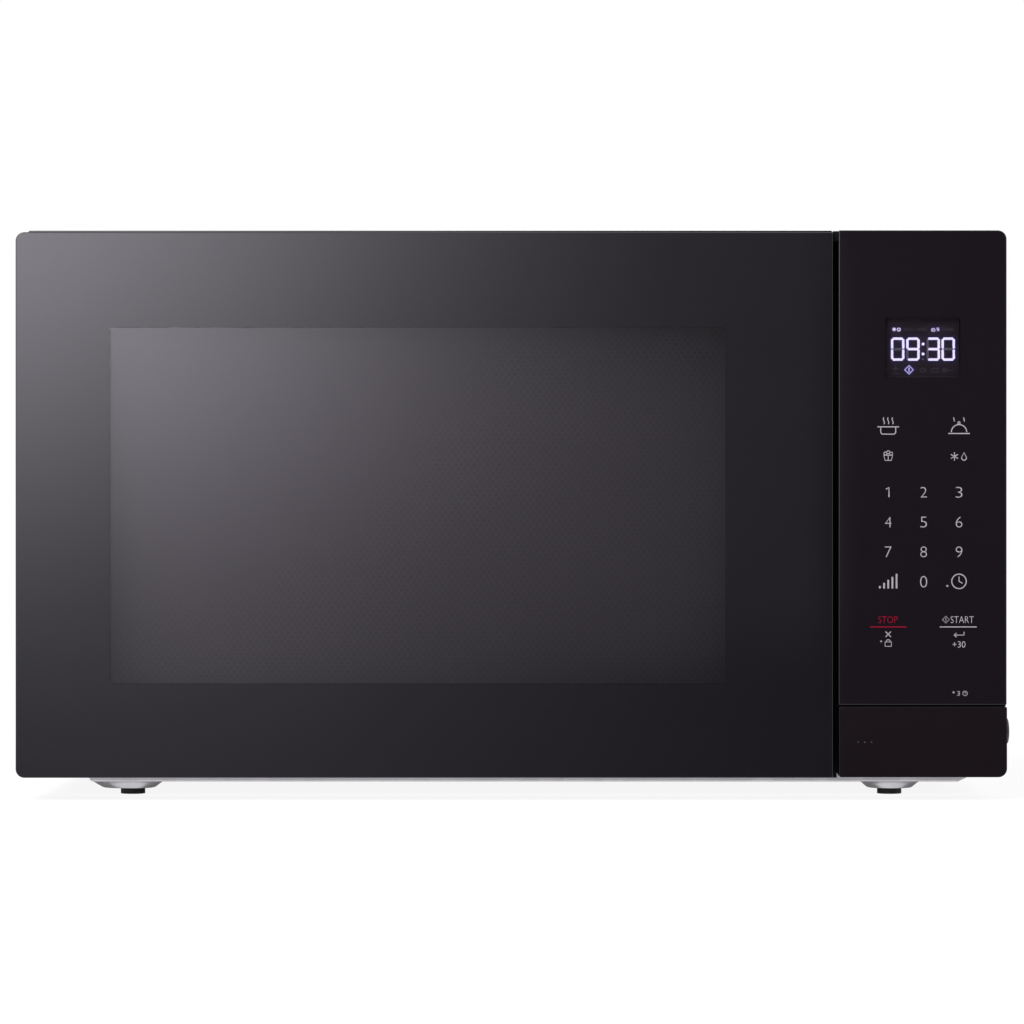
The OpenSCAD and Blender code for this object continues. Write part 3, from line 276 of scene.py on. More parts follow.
bpy.ops.mesh.remove_doubles(threshold=0.5 * MM)
bpy.ops.mesh.select_all(action="SELECT")
bpy.ops.mesh.dissolve_degenerate(threshold=0.02 * MM)
bpy.ops.object.mode_set(mode="OBJECT")
round_off(base, 2.4, on_ring(pan_z, 16.3 * MM, 1.2 * MM), 4)
round_off(base, 0.6, on_ring(boss_end, 10.9 * MM, MM), 3)
round_off(base, 0.8, lambda a, b: all(near(v.z, pan_z) and near(v.y, pan_low.y) for v in (a, b)))
# Last, the pan is drawn out as a whole: the bosses at the left by a third towards their fold, the
# right fold and its rim outwards, the floor down, and the front wall back towards its foot.
boss_stretch, boss_bulge, boss_span = 1.15, 0.19, 22 * MM
rim_out, right_fold_out, right_rim_out, rim_step = 1.2 * MM, 5.3 * MM, 6.5 * MM, 9 * MM
floor_sag, wall_back = 0.4 * MM, 1.8 * MM
for vertex in base.data.vertices:
    at = vertex.co
    centre = min(foot_at, key=lambda c: (c - at).length)
    if at.x < centre.x < 0 and at.z < pan_z + MM:
        beside = max(1 - ((at.y - centre.y) / boss_span) ** 2, 0)
        at.x = centre.x + (at.x - centre.x) * (boss_stretch + boss_bulge * beside)
    elif left_fold - 5 * MM < at.x < left_fold and near(at.z, rim_z, MM):
        at.x -= rim_out
    if near(at.x, right_fold, MM) and at.z < pan_z + MM:
        at.x += right_fold_out
    elif near(at.x, right_fold + rim_step, MM):
        at.x += right_rim_out
    sag = min((rim_z - at.z) / (rim_z - pan_z), (at.z - boss_end) / (pan_z - boss_end))
    at.z -= floor_sag * max(sag, 0)
    if at.y < pan_low.y + MM and at.z < pan_z + MM:
        at.y += wall_back
settle(base)
dress(base, zinc_sheet)
stand_in(base, "chassis", "base_plate")

# Feet. Four moulded black rubber plugs, each pushed up through the hole in its boss until its
# barbed head snaps over the sheet.
def finish(name, light, dark, patch, rough, grain, relief, stretch=(1, 1, 1), **sockets):
    """A finish whose colour and roughness drift over patches, with a fine grain in relief. Patch,
    grain and relief are in millimetres, and stretch draws both patterns out."""
    made, tree, shader = new_material(name, **sockets)
    where = add(tree, "TexCoord").outputs["Object"]
    drawn = add(tree, "Mapping", {"Scale": stretch}, {"Vector": where})
    drift = add(tree, "TexNoise", {"Scale": 1 / (patch * MM), "Detail": 3}, {"Vector": drawn})
    share = add(tree, "MapRange", {"From Min": 0.35, "From Max": 0.65}, {"Value": drift})
    tint = add(tree, "Mix", {"data_type": "RGBA", 6: linear(dark), 7: linear(light)}, {0: share})
    sheen = add(tree, "MapRange", {"To Min": rough[0], "To Max": rough[1]}, {"Value": share})
    fine = add(tree, "TexNoise", {"Scale": 1 / (grain * MM), "Detail": 2}, {"Vector": drawn})
    bump = add(tree, "Bump", {"Distance": relief * MM}, {"Height": fine})
    link(tree, shader, {"Base Color": tint.outputs[2], "Roughness": sheen, "Normal": bump})
    return made


def extrude(*by):
    """Extrudes the selected faces, and moves the new ones by that much."""
    bpy.ops.mesh.extrude_region_move(TRANSFORM_OT_translate={"value": by})


# Rubber: matt, near black, with a faint bloom.
rubber = finish("moulded_rubber_black", "#1B1B1C", "#121213", patch=6, rough=(0.62, 0.8), grain=0.5,
                relief=0.02, IOR=1.52)
foot_low, foot_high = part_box(foot_names[0])
foot_r, foot_h = (foot_high.x - foot_low.x) / 2, pan_z - boss_end
neck_r, neck_h, barb, tip = 2.5 * MM, 0.9 * MM, 1.28, 0.6
recess_rim, recess_h = 2 * MM, 0.7 * MM
select_only()
bpy.ops.mesh.primitive_cylinder_add(vertices=48, radius=foot_r, depth=foot_h,
                                    location=(0, 0, foot_h / 2))
foot = bpy.context.object
take_up(foot)
pick(foot, "FACE", lambda c, n: n.z > 0.9)
bpy.ops.mesh.inset(thickness=foot_r - neck_r)
extrude(0, 0, neck_h)
extrude(0, 0, 0)
bpy.ops.transform.resize(value=(barb, barb, 1), center_override=(0, 0, foot_h))
extrude(0, 0, foot_high.z - foot_h - neck_h)
bpy.ops.transform.resize(value=(tip, tip, 1), center_override=(0, 0, foot_high.z))
pick(foot, "FACE", lambda c, n: n.z < -0.9)
bpy.ops.mesh.inset(thickness=recess_rim)
extrude(0, 0, recess_h)
bpy.ops.object.mode_set(mode="OBJECT")
round_off(foot, 0.8, lambda a, b: all(near(v.z, 0) and v.length > foot_r - MM / 2 for v in (a, b)))
settle(foot, 0.15)
dress(foot, rubber)
for name, centre in zip(foot_names, foot_at):
    each = another(foot, "rubber_" + name, centre.x, centre.y)
    settle(each)
    stand_in(each, "chassis", name)
bpy.data.objects.remove(foot)

# Front plate and cooking chamber. Steel sheets welded into one box and sprayed with epoxy paint
# that is baked on.
# Baked epoxy: pale grey and half glossy with a slight orange peel, a shade darker on the plate.
chamber_paint = finish("baked_epoxy_paint_grey", "#C3C3C0", "#BABAB7", patch=60, rough=(0.3, 0.38),
                       grain=1.6, relief=0.012, IOR=1.5)
front_paint = finish("baked_epoxy_paint_front", "#BDBDBB", "#B4B4B2", patch=60, rough=(0.32, 0.4),
                     grain=1.6, relief=0.012, IOR=1.5)
mouth_low, mouth_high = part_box("cavity")
sheet = 0.8 * MM
inner_low = mouth_low + Vector((sheet, 0, sheet))
inner_high = mouth_high - Vector((sheet, sheet, sheet))


def corners_of(low, high):
    """Edges that lie in two at once of the sides, the top, the bottom and the rear of this box."""
    walls = ((0, low.x), (0, high.x), (1, high.y), (2, low.z), (2, high.z))
    return lambda a, b: sum(near(a[axis], at) and near(b[axis], at) for axis, at in walls) >= 2


def finished_copy(node, name, body, stuff, edge=0.0):
    """A copy of a CAD node with softened edges and this material, which stands for the node."""
    piece = copy_of(node, name)
    settle(piece, edge)
    dress(piece, stuff)
    stand_in(piece, body, node)
    return piece


chamber = copy_of("cavity", "cooking_chamber")
round_off(chamber, 4, corners_of(inner_low, inner_high), 4)
settle(chamber)
dress(chamber, chamber_paint)
stand_in(chamber, "chassis", "cavity")
finished_copy("front_plate", "painted_front_plate", "chassis", front_paint, 0.2)

# Waveguide, mica sheet and lamp on the chamber's right wall. The guide is bent from zinc-coated
# sheet, its mouth is covered by a sheet of pressed mica, and the lamp sits in a tinned hood.
finished_copy("waveguide", "waveguide_box", "chassis", zinc_sheet, 0.3)
# Pressed mica: warm silver-grey with flakes that glint.
mica, tree, shader = new_material("pressed_mica", Metallic=0.35, IOR=1.58)
where = add(tree, "TexCoord").outputs["Object"]
flakes = add(tree, "TexVoronoi", {"Scale": 1 / (3 * MM)}, {"Vector": where})
tone = add(tree, "SeparateColor", {}, {0: flakes.outputs["Color"]})
tint = add(tree, "Mix", {"data_type": "RGBA", 6: linear("#B0A58E"), 7: linear("#C2B8A3")}, {0: tone})
sheen = add(tree, "MapRange", {"To Min": 0.25, "To Max": 0.6}, {"Value": tone.outputs[1]})
link(tree, shader, {"Base Color": tint.outputs[2], "Roughness": sheen})
dress("waveguide_cover", mica)
# Tin plate: bright silver, slightly clouded.
tin = finish("tinned_steel", "#C9CACB", "#AEB0B2", patch=12, rough=(0.25, 0.4), grain=0.8,
             relief=0.01, Metallic=1.0)
dress("cavity_lamp", tin)

# Turntable drive. A flat synchronous motor in a zinc-plated can, an acetal shaft and a moulded
# coupling with three lobes that turn the glass tray.
# Zinc plating, passivated: a cool, half-bright grey.
zinc_plate = finish("zinc_plated_steel", "#B9BCC2", "#9A9DA4", patch=10, rough=(0.25, 0.42),
                    grain=0.4, relief=0.01, Metallic=1.0)
finished_copy("turntable_motor", "turntable_motor_can", "chassis", zinc_plate, 0.3)
# Acetal: milky white and waxy, with light going in a little way.
acetal = finish("moulded_acetal_natural", "#E9E6DE", "#DEDAD0", patch=15, rough=(0.3, 0.42),
                grain=0.6, relief=0.01, IOR=1.48, Subsurface_Weight=0.1, Subsurface_Scale=0.001)
dress("turntable_shaft", acetal)
# Glass-filled polyphenylene sulphide: beige, matt and faintly mottled.
pps = finish("moulded_pps_beige", "#D6CDBA", "#C8BEA9", patch=12, rough=(0.4, 0.55), grain=0.6,
             relief=0.02, IOR=1.6)
finished_copy("turntable_coupling", "turntable_coupling_lobes", "turntable", pps, 0.3)

# Roller ring and its three rollers. The ring is moulded PPS that stands the heat, and each roller
# turns on its own spoke and carries the tray on its crown.
finished_copy("roller_ring", "roller_ring_moulding", "ring", pps, 0.35)
for number, body in enumerate(("roller_a", "roller_b", "roller_c"), 1):
    finished_copy(f"roller_{number}", f"roller_wheel_{number}", body, acetal, 0.25)

# Glass tray. Pressed and toughened soda-lime glass, with a raised rim and three lugs under it
# that sit between the coupling's lobes.
# Clear with a trace of green, and with the slow ripples that pressing leaves.
tray_glass, tree, shader = new_material(
    "pressed_soda_lime_glass", IOR=1.52, Roughness=0.02, Transmission_Weight=1.0)
where = add(tree, "TexCoord").outputs["Object"]
swell = add(tree, "TexNoise", {"Scale": 1 / (25 * MM), "Detail": 1}, {"Vector": where})
tint = add(tree, "Mix", {"data_type": "RGBA", 6: linear("#E8F3EE"), 7: linear("#F6FBF9")},
           {0: swell})
ripple = add(tree, "Bump", {"Distance": 0.02 * MM}, {"Height": swell})
link(tree, shader, {"Base Color": tint.outputs[2], "Normal": ripple})
finished_copy("glass_tray", "tray_of_pressed_glass", "tray", tray_glass, 0.5)

# Magnetron. A copper tube in a zinc-plated steel yoke, with pressed aluminium fins around it, a
# tinned filter box at its foot and two leads in silicone rubber.
# Copper drawn through a die: salmon pink, half bright.
copper = finish("drawn_copper", "#C98A6B", "#B27354", patch=8, rough=(0.25, 0.4), grain=0.3,
                relief=0.01, Metallic=1.0)
# Rolled aluminium: bright, with fine lines along the rolling.
fin_metal = finish("rolled_aluminium", "#D9DADC", "#C6C8CB", patch=20, rough=(0.25, 0.38),
                   grain=0.5, relief=0.01, stretch=(1, 8, 1), Metallic=1.0)
# Silicone rubber: a deep red with a dry look.
red_silicone = finish("silicone_rubber_red", "#A8201F", "#8E1716", patch=5, rough=(0.45, 0.6),
                      grain=0.5, relief=0.01)
for node, metal in (("magnetron_yoke", zinc_plate), ("magnetron_anode", copper),
                    ("magnetron_fins", fin_metal), ("magnetron_filter_box", tin),
                    ("magnetron_leads", red_silicone)):
    dress(node, metal)

# Inverter and mains filter. Glass-fibre boards under green solder resist with copper tracks, a
# ferrite core wound with enamelled copper wire and an extruded aluminium heat sink.
# Solder resist: bottle green, lighter and a little raised over the tracks.
resist, tree, shader = new_material("solder_resist_green", IOR=1.55)
where = add(tree, "TexCoord").outputs["Object"]
tracks = add(tree, "TexVoronoi", {"Scale": 1 / (6 * MM), "distance": "MANHATTAN",
                                  "feature": "SMOOTH_F1", "Smoothness": 0.2}, {"Vector": where})
edge = add(tree, "MapRange", {"From Min": 0.45, "From Max": 0.5}, {"Value": tracks})
tint = add(tree, "Mix", {"data_type": "RGBA", 6: linear("#1F5A3A"), 7: linear("#2F7A50")}, {0: edge})
lift = add(tree, "Bump", {"Distance": 0.035 * MM}, {"Height": edge})
sheen = add(tree, "MapRange", {"To Min": 0.35, "To Max": 0.25}, {"Value": edge})
link(tree, shader, {"Base Color": tint.outputs[2], "Roughness": sheen, "Normal": lift})
# Sintered ferrite: dull charcoal, slightly gritty.
ferrite = finish("sintered_ferrite", "#3A3836", "#2B2927", patch=6, rough=(0.5, 0.7), grain=0.4,
                 relief=0.02)
for node, stuff in (("inverter_board", resist), ("noise_filter", resist),
                    ("inverter_transformer", ferrite), ("inverter_heatsink", fin_metal)):
    dress(node, stuff)

# Cooling fan. A black glass-filled nylon shroud carries a shaded-pole motor of stacked steel
# sheets, whose rotor turns a moulded polypropylene blade.
# Glass-filled nylon: dull black, with the fibres as a fine grain.
black_nylon = finish("glass_filled_nylon_black", "#1D1D1E", "#161617", patch=20, rough=(0.45, 0.6),
                     grain=0.7, relief=0.03)
# Stacked sheets: fine parallel lines of steel and varnish.
laminations = finish("stacked_electrical_steel", "#6E7075", "#515358", patch=3, rough=(0.35, 0.5),
                     grain=0.5, relief=0.04, stretch=(0.1, 6, 0.1), Metallic=1.0)
# Moulded polypropylene: an even mid grey with a waxy sheen.
grey_polypropylene = finish("moulded_polypropylene_grey", "#8E8F90", "#838485", patch=25,
                            rough=(0.4, 0.5), grain=0.8, relief=0.02)
for node, stuff in (("fan_shroud", black_nylon), ("fan_motor", laminations),
                    ("fan_rotor", zinc_plate), ("fan_blade", grey_polypropylene)):
    dress(node, stuff)

# Latch board. A moulded PBT carrier behind the front plate holds three snap-action switches and
# the acetal lever that the release button pushes.
# Moulded PBT: an opaque, warm white with a low sheen.
pbt = finish("moulded_pbt_white", "#D8D5CC", "#CCC8BE", patch=20, rough=(0.38, 0.5), grain=0.7,
             relief=0.02)
# Moulded phenolic: hard and close-grained, black or brick red.
phenolic_black = finish("moulded_phenolic_black", "#1A1A1B", "#131314", patch=8, rough=(0.35, 0.5),
                        grain=0.5, relief=0.02)
phenolic_red = finish("moulded_phenolic_red", "#7E2320", "#6B1C1A", patch=8, rough=(0.35, 0.5),
                      grain=0.5, relief=0.02)
# Dyed acetal: a waxy orange red.
lever_red = finish("moulded_acetal_orange", "#C9552B", "#B94A22", patch=10, rough=(0.3, 0.45),
                   grain=0.6, relief=0.01)
finished_copy("latch_board", "latch_carrier", "chassis", pbt, 0.3)
finished_copy("release_lever", "release_lever_moulding", "lever", lever_red, 0.25)
for node, stuff in (("microswitch_primary", phenolic_black), ("microswitch_secondary", phenolic_black),
                    ("microswitch_monitor", phenolic_red)):
    finished_copy(node, node + "_case", "chassis", stuff, 0.25)
dress("switch_plungers", acetal)

# Hinges. Two stamped steel brackets, zinc plated, screwed behind the front plate; each arm comes
# through a slot and carries the pin that the door turns on.
for node in ("upper_hinge", "lower_hinge"):
    finished_copy(node, node + "_bracket", "chassis", zinc_plate, 0.25)

# Door: steel inner panel. One sheet perforated over the window and folded into a choke channel
# round it, dipped in mid-grey enamel; the holes are 1.5 mm wide in staggered rows.
# The holes of a real screen are half as far apart, too fine to show; these are drawn coarser.
enamel, tree, shader = new_material("dipped_enamel_grey", IOR=1.5)
hole_pitch, row_pitch, hole_d, hole_rim = 3.07 * MM, 2.1 * MM, 1.5 * MM, 0.15 * MM
where = add(tree, "TexCoord").outputs["Object"]
to_hole = []
for shift in (0, 0.5):
    laid = add(tree, "Mapping", {"Scale": (1 / hole_pitch, 0, 0.5 / row_pitch),
                                 "Location": (shift, 0, shift)}, {"Vector": where})
    wrapped = add(tree, "VectorMath", {"operation": "FRACTION"}, {0: laid})
    centred = add(tree, "VectorMath", {"operation": "MULTIPLY_ADD",
                                       1: (hole_pitch, 0, 2 * row_pitch),
                                       2: (-hole_pitch / 2, 0, -row_pitch)}, {0: wrapped})
    to_hole.append(add(tree, "VectorMath", {"operation": "LENGTH"}, {0: centred}).outputs["Value"])
nearest = add(tree, "Math", {"operation": "MINIMUM"}, {0: to_hole[0], 1: to_hole[1]})
solid = add(tree, "MapRange", {"From Min": hole_d / 2 - hole_rim, "From Max": hole_d / 2},
            {"Value": nearest})
# The panel is solid between the holes, and everywhere outside the window.
screen_low, screen_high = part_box("inner_window")
axes = add(tree, "SeparateXYZ", {}, {0: where})
margin = 6 * MM
for axis, low, high in ((0, screen_low.x, screen_high.x), (2, screen_low.z, screen_high.z)):
    off = add(tree, "Math", {"operation": "SUBTRACT", 1: (low + high) / 2}, {0: axes.outputs[axis]})
    away = add(tree, "Math", {"operation": "ABSOLUTE"}, {0: off})
    beyond = add(tree, "Math", {"operation": "GREATER_THAN", 1: (high - low) / 2 - margin}, {0: away})
    solid = add(tree, "Math", {"operation": "MAXIMUM"}, {0: solid, 1: beyond})
drift = add(tree, "TexNoise", {"Scale": 1 / (40 * MM)}, {"Vector": where})
coat = add(tree, "Mix", {"data_type": "RGBA", 6: linear("#565557"), 7: linear("#5B5A5C")}, {0: drift})
# The holes are only painted: on the door's side a mid grey, painted light for the lit chamber beyond,
# and on the chamber's side near black, painted shade for the dark glass.
faces = add(tree, "SeparateXYZ", {}, {0: add(tree, "TexCoord").outputs["Normal"]})
behind = add(tree, "MapRange", {"From Min": -0.1, "From Max": 0.1}, {"Value": faces.outputs[1]})
depth = add(tree, "Mix", {"data_type": "RGBA", 6: linear("#525153"), 7: linear("#101012")},
            {0: behind})
tint = add(tree, "Mix", {"data_type": "RGBA"}, {0: solid, 6: depth.outputs[2], 7: coat.outputs[2]})
sheen = add(tree, "MapRange", {"To Min": 0.7, "To Max": 0.34}, {"Value": solid})
dent = add(tree, "Bump", {"Distance": 0.05 * MM}, {"Height": solid})
link(tree, shader, {"Base Color": tint.outputs[2], "Roughness": sheen, "Normal": dent})
dress("door_panel", enamel)

# Inner window. A clear polyester sheet, 0.8 mm thick, clipped over the perforated panel on the
# chamber's side to keep steam out of the door.
def bare_material(name):
    """A material with no shader yet. Returns it, its nodes and its output."""
    made, tree, shader = new_material(name)
    tree.nodes.remove(shader)
    return made, tree, tree.nodes["Material Output"]


def tinted_glass(name, light, dark, rough, ior=1.5):
    """A clear face with a tint: it mirrors as glass or film does and lets the rest through. Light
    goes straight on inside, so the way out mirrors as much as the way in."""
    made, tree, output = bare_material(name)
    where = add(tree, "TexCoord").outputs["Object"]
    cloud = add(tree, "TexNoise", {"Scale": 1 / (90 * MM)}, {"Vector": where})
    tint = add(tree, "Mix", {"data_type": "RGBA", 6: linear(dark), 7: linear(light)}, {0: cloud})
    sheen = add(tree, "MapRange", {"To Min": rough[0], "To Max": rough[1]}, {"Value": cloud})
    through = add(tree, "BsdfTransparent", {}, {"Color": tint.outputs[2]})
    gloss = add(tree, "BsdfGlossy", {"Color": (1, 1, 1, 1)}, {"Roughness": sheen})
    inward = add(tree, "MapRange", {"To Min": ior, "To Max": 1 / ior},
                 {"Value": add(tree, "NewGeometry").outputs["Backfacing"]})
    share = add(tree, "Fresnel", {}, {"IOR": inward})
    both = add(tree, "MixShader", {}, {0: share, 1: through, 2: gloss})
    link(tree, output, {"Surface": both})
    return made


# Clear film: nearly unseen but for a soft shimmer.
film = tinted_glass("clear_polyester_film", "#EBEDED", "#E7EAEA", (0.03, 0.08), 1.57)
dress("inner_window", film)

# Door frame. Black ABS moulded in a polished tool, with the steel panel screwed in and the glass
# bonded to its face; a narrow lip of it stands over the top of the glass.
# ABS from a polished tool: deep black with a soft gloss.
black_abs = finish("moulded_abs_black", "#1C1B1E", "#161518", patch=40, rough=(0.2, 0.28),
                   grain=1.2, relief=0.006, IOR=1.54)
finished_copy("door_frame", "door_frame_moulding", "door", black_abs, 0.3)

# Latch bar, its spring and the cover over the choke. The bar and hooks are natural acetal, the
# spring is hard-drawn steel wire, and the cover is black polypropylene that microwaves pass.
# Hard-drawn wire: steel grey with a bright sheen.
spring_steel = finish("hard_drawn_spring_steel", "#A9ABAF", "#85878C", patch=2, rough=(0.2, 0.35),
                      grain=0.2, relief=0.005, Metallic=1.0)
finished_copy("latch_key", "latch_hooks", "latch", acetal, 0.4)


def coil_spring(node, body):
    """A spring of hard-drawn wire: a finished copy of the CAD node, with a mesh of its own, on that
    body.
    """
    coil = finished_copy(node, node + "_wire", body, spring_steel)
    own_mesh(coil)


coil_spring("latch_spring", "door")
# Polypropylene: black, with a waxy low sheen.
black_pp = finish("moulded_polypropylene_black", "#202022", "#19191B", patch=30, rough=(0.36, 0.46),
                  grain=0.8, relief=0.02, IOR=1.49)
finished_copy("choke_cover", "choke_cover_moulding", "door", black_pp, 0.4)
dress("door_screws", zinc_plate)

# Door glass. A pane of 3.2 mm float glass with polished edges, bonded over the whole door; the
# back is printed black except for the window, which is only tinted.
# Radii in millimetres: of the corners beside the gap, of the outer corners, and of all the edges.
sharp_corner, round_corner, polished_edge = 0.6, 4.2, 0.5


def bar(low, high):
    """A block between two corners, to be shaped."""
    low, high = Vector(low), Vector(high)
    select_only()
    bpy.ops.mesh.primitive_cube_add(size=1, location=(low + high) / 2, scale=high - low)
    bpy.ops.object.transform_apply()
    return bpy.context.object


def pane_of_glass(name, low, high, rounded, window_low, window_high, print_finish, clear_finish):
    """A pane with polished edges. Its corners at the side rounded get the large radius, and its
    two faces are left clear over the window."""
    made = bar(low, high)
    made.name = name
    for wide in (True, False):
        round_off(made, round_corner if wide else sharp_corner, lambda a, b: near(a.x, b.x)
                  and near(a.z, b.z) and not near(a.y, b.y) and rounded(a) == wide, 8)
    for y in (low.y, high.y):
        round_off(made, polished_edge, lambda a, b: near(a.y, y) and near(b.y, y))
    take_up(made)
    for place, normal in (((window_low.x, 0, 0), (1, 0, 0)), ((window_high.x, 0, 0), (1, 0, 0)),
                          ((0, 0, window_low.z), (0, 0, 1)), ((0, 0, window_high.z), (0, 0, 1))):
        bpy.ops.mesh.select_all(action="SELECT")
        bpy.ops.mesh.bisect(plane_co=place, plane_no=normal)
    settle(made)
    dress(made, print_finish, clear_finish)
    for face in made.data.polygons:
        if (abs(face.normal.y) > 0.99 and window_low.x < face.center.x < window_high.x
                and window_low.z < face.center.z < window_high.z):
            face.material_index = 1
    return made


# Black ceramic print seen through the glass: a deep, even black with a full gloss.
printed = finish("float_glass_printed_black", "#1F1D22", "#1D1B20", patch=80, rough=(0.03, 0.05),
                 grain=60, relief=0.002, IOR=1.5)
# A smoke tint: the two faces together let half of the light through, so the screen is faint.
smoked = tinted_glass("float_glass_smoked", "#DEDBDF", "#DAD7DB", (0.03, 0.04))
pane_low, pane_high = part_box("door_glass")
# How far the print comes in from the pane's edges, round the window.
window_low = pane_low + Vector((45.3, 0, 45.3)) * MM
window_high = pane_high - Vector((51.4, 0, 45.8)) * MM
pane = pane_of_glass("door_pane", pane_low, pane_high, lambda v: v.x < 0, window_low, window_high,
                     printed, smoked)
stand_in(pane, "door", "door_glass")

# Control housing and what it holds. A black ABS box behind the fascia carries the circuit board,
# the display and the touch sheet of printed polyester that reads the finger through the fascia.
def join(*pieces):
    """Makes one object of these pieces, the first of them."""
    select_only(*pieces)
    bpy.ops.object.join()
    return pieces[0]


# A rib on the housing's left side shuts off the gap beside the door, and a strip under its upper
# box shuts off the joint above the button.
house_low, house_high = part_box("control_housing")
fascia_low, fascia_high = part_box("control_fascia")
door_right, front_top, joint_z = pane_high.x, fascia_high.z, fascia_low.z
housing = copy_of("control_housing", "control_housing_moulding")
gap_rib = bar((door_right + 0.8 * MM, house_low.y + 15 * MM, 10 * MM),
              (house_low.x + 0.1 * MM, house_high.y - 0.1 * MM, front_top))
joint_strip = bar((house_low.x, house_low.y + 0.2 * MM, joint_z - 0.9 * MM),
                  (house_high.x + 0.45 * MM, house_low.y + 2.8 * MM, joint_z + 0.8 * MM))
rib_head = bar((door_right + 0.35 * MM, house_low.y + 0.8 * MM, front_top - 5 * MM),
               (house_low.x + 0.1 * MM, house_low.y + 15.5 * MM, front_top - 0.15 * MM))
# The ribs are painted near black, darker than the housing and dead matt, as painted shade that keeps
# the gaps they fill black.
gap_shade_abs = finish("abs_black_painted_gap_shade", "#070708", "#050506", patch=8, rough=(0.85, 0.95), grain=0.4,
                  relief=0.02, Specular_IOR_Level=0.3)
dress(housing, black_abs)
for each in (gap_rib, rib_head, joint_strip):
    dress(each, gap_shade_abs)
join(housing, gap_rib, rib_head, joint_strip)
settle(housing, 0.25)
stand_in(housing, "chassis", "control_housing")
dress("control_board", resist)
# Printed polyester over copper mesh: a warm translucent tan.
touch_film = finish("printed_polyester_film", "#8A7B4C", "#7D6F43", patch=9, rough=(0.25, 0.35),
                    grain=0.6, relief=0.005)
dress("touch_sheet", touch_film)

# Display. A light-emitting module in a black case: four seven-segment digits, a colon, and two
# rows of small symbols behind a grey mask, with the light spreading a little in the diffuser.
case_low, case_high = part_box("display_module")
case_mid = (case_low + case_high) / 2
case_wall, case_lip = 0.6 * MM, 0.15 * MM
face_y = case_low.y + case_lip
display = bar(case_low, case_high)
display.name = "display_case"
take_up(display)
pick(display, "FACE", lambda c, n: n.y < -0.9)
bpy.ops.mesh.inset(thickness=case_wall)
extrude(0, case_lip, 0)
settle(display, 0.2)
# Charcoal mask film over the diffuser: matt, a shade lighter than the print round it.
mask_film = finish("masked_display_diffuser", "#4D4347", "#494043", patch=12, rough=(0.5, 0.6),
                   grain=0.4, relief=0.004)
dress(display, mask_film)
stand_in(display, "chassis", "display_module")


def lamp_finish(name, light, dark, glow, level):
    """A lit or unlit symbol: a milky window that glows evenly, with a little unevenness."""
    made, tree, shader = new_material(name, Roughness=0.5, Emission_Color=linear(glow))
    where = add(tree, "TexCoord").outputs["Object"]
    cloud = add(tree, "TexNoise", {"Scale": 1 / (1.5 * MM)}, {"Vector": where})
    tint = add(tree, "Mix", {"data_type": "RGBA", 6: linear(dark), 7: linear(light)}, {0: cloud})
    power = add(tree, "MapRange", {"To Min": 0.92 * level, "To Max": level}, {"Value": cloud})
    link(tree, shader, {"Base Color": tint.outputs[2], "Emission Strength": power})
    return made


# Lit: white with a trace of violet, bright enough to lose its edges. Unlit: a milky grey.
lit = lamp_finish("light_emitting_segment_lit", "#F2F0FF", "#E8E4FA", "#F4F1FF", 1.7)
unlit = lamp_finish("light_emitting_segment_off", "#A8A7AB", "#A09FA3", "#000000", 0)
faint = lamp_finish("light_emitting_symbol_off", "#828083", "#7B797C", "#000000", 0)

digit_w, digit_h, stroke, gap = 6.5 * MM, 11.2 * MM, 1.15 * MM, 0.22 * MM
digit_z = case_mid.z - 0.65 * MM
digits = (("0", -11.1), ("9", -3.75), ("3", 6.0), ("0", 13.2))
reach_x, reach_z = (digit_w - stroke) / 2, (digit_h - stroke) / 2
# How each segment lies in its digit: how far across and up, and whether it stands upright.
segments = {"top": (0, 1, False), "middle": (0, 0, False), "bottom": (0, -1, False),
            "upper_left": (-1, 0.5, True), "upper_right": (1, 0.5, True),
            "lower_left": (-1, -0.5, True), "lower_right": (1, -0.5, True)}
dark_in = {"0": ["middle"], "9": ["lower_left"], "3": ["upper_left", "lower_left"]}
symbol_thick = 0.06 * MM


def segment_bar(length):
    """One segment: a thin six-sided bar with pointed ends, lying along x at the origin."""
    select_only()
    radius = stroke / math.sqrt(3)
    bpy.ops.mesh.primitive_cylinder_add(vertices=6, radius=radius, depth=symbol_thick,
                                        rotation=(math.radians(90), 0, 0))
    made = bpy.context.object
    bpy.ops.object.transform_apply()
    bpy.ops.transform.rotate(value=math.radians(30), orient_axis="Y", center_override=(0, 0, 0))
    bpy.ops.object.transform_apply()
    take_up(made)
    for side in (-1, 1):
        bpy.ops.mesh.select_all(action="DESELECT")
        points = bmesh.from_edit_mesh(made.data)
        for vertex in points.verts:
            vertex.select_set(vertex.co.x * side > radius / 4)
        bmesh.update_edit_mesh(made.data)
        bpy.ops.transform.translate(value=(side * (length / 2 - radius), 0, 0))
    bpy.ops.object.mode_set(mode="OBJECT")
    return made


level_bar = segment_bar(2 * reach_x - gap)
upright_bar = segment_bar(reach_z - gap)
select_only()
bpy.ops.mesh.primitive_cylinder_add(vertices=20, radius=0.72 * MM, depth=symbol_thick,
                                    rotation=(math.radians(90), 0, 0))
colon_dot = bpy.context.object
bpy.ops.object.transform_apply()
symbol_y = face_y - symbol_thick / 2
# Glow lines run along the middles of the lit shapes; the diffuser's glow falls off from them.
lit_pieces, unlit_pieces, glow_lines = [], [], []
for digit, offset in digits:
    for name, (across, up, upright) in segments.items():
        x = case_mid.x + offset * MM + across * reach_x
        z = digit_z + up * reach_z
        unlit_here = name in dark_in[digit]
        model = upright_bar if upright else level_bar
        piece = another(model, "segment", x, symbol_y, z, 90 if upright else 0)
        (unlit_pieces if unlit_here else lit_pieces).append(piece)
        half = ((reach_z if upright else 2 * reach_x) - stroke) / 2
        if not unlit_here:
            glow_lines.append((x, z - half, x, z + half) if upright else (x - half, z, x + half, z))
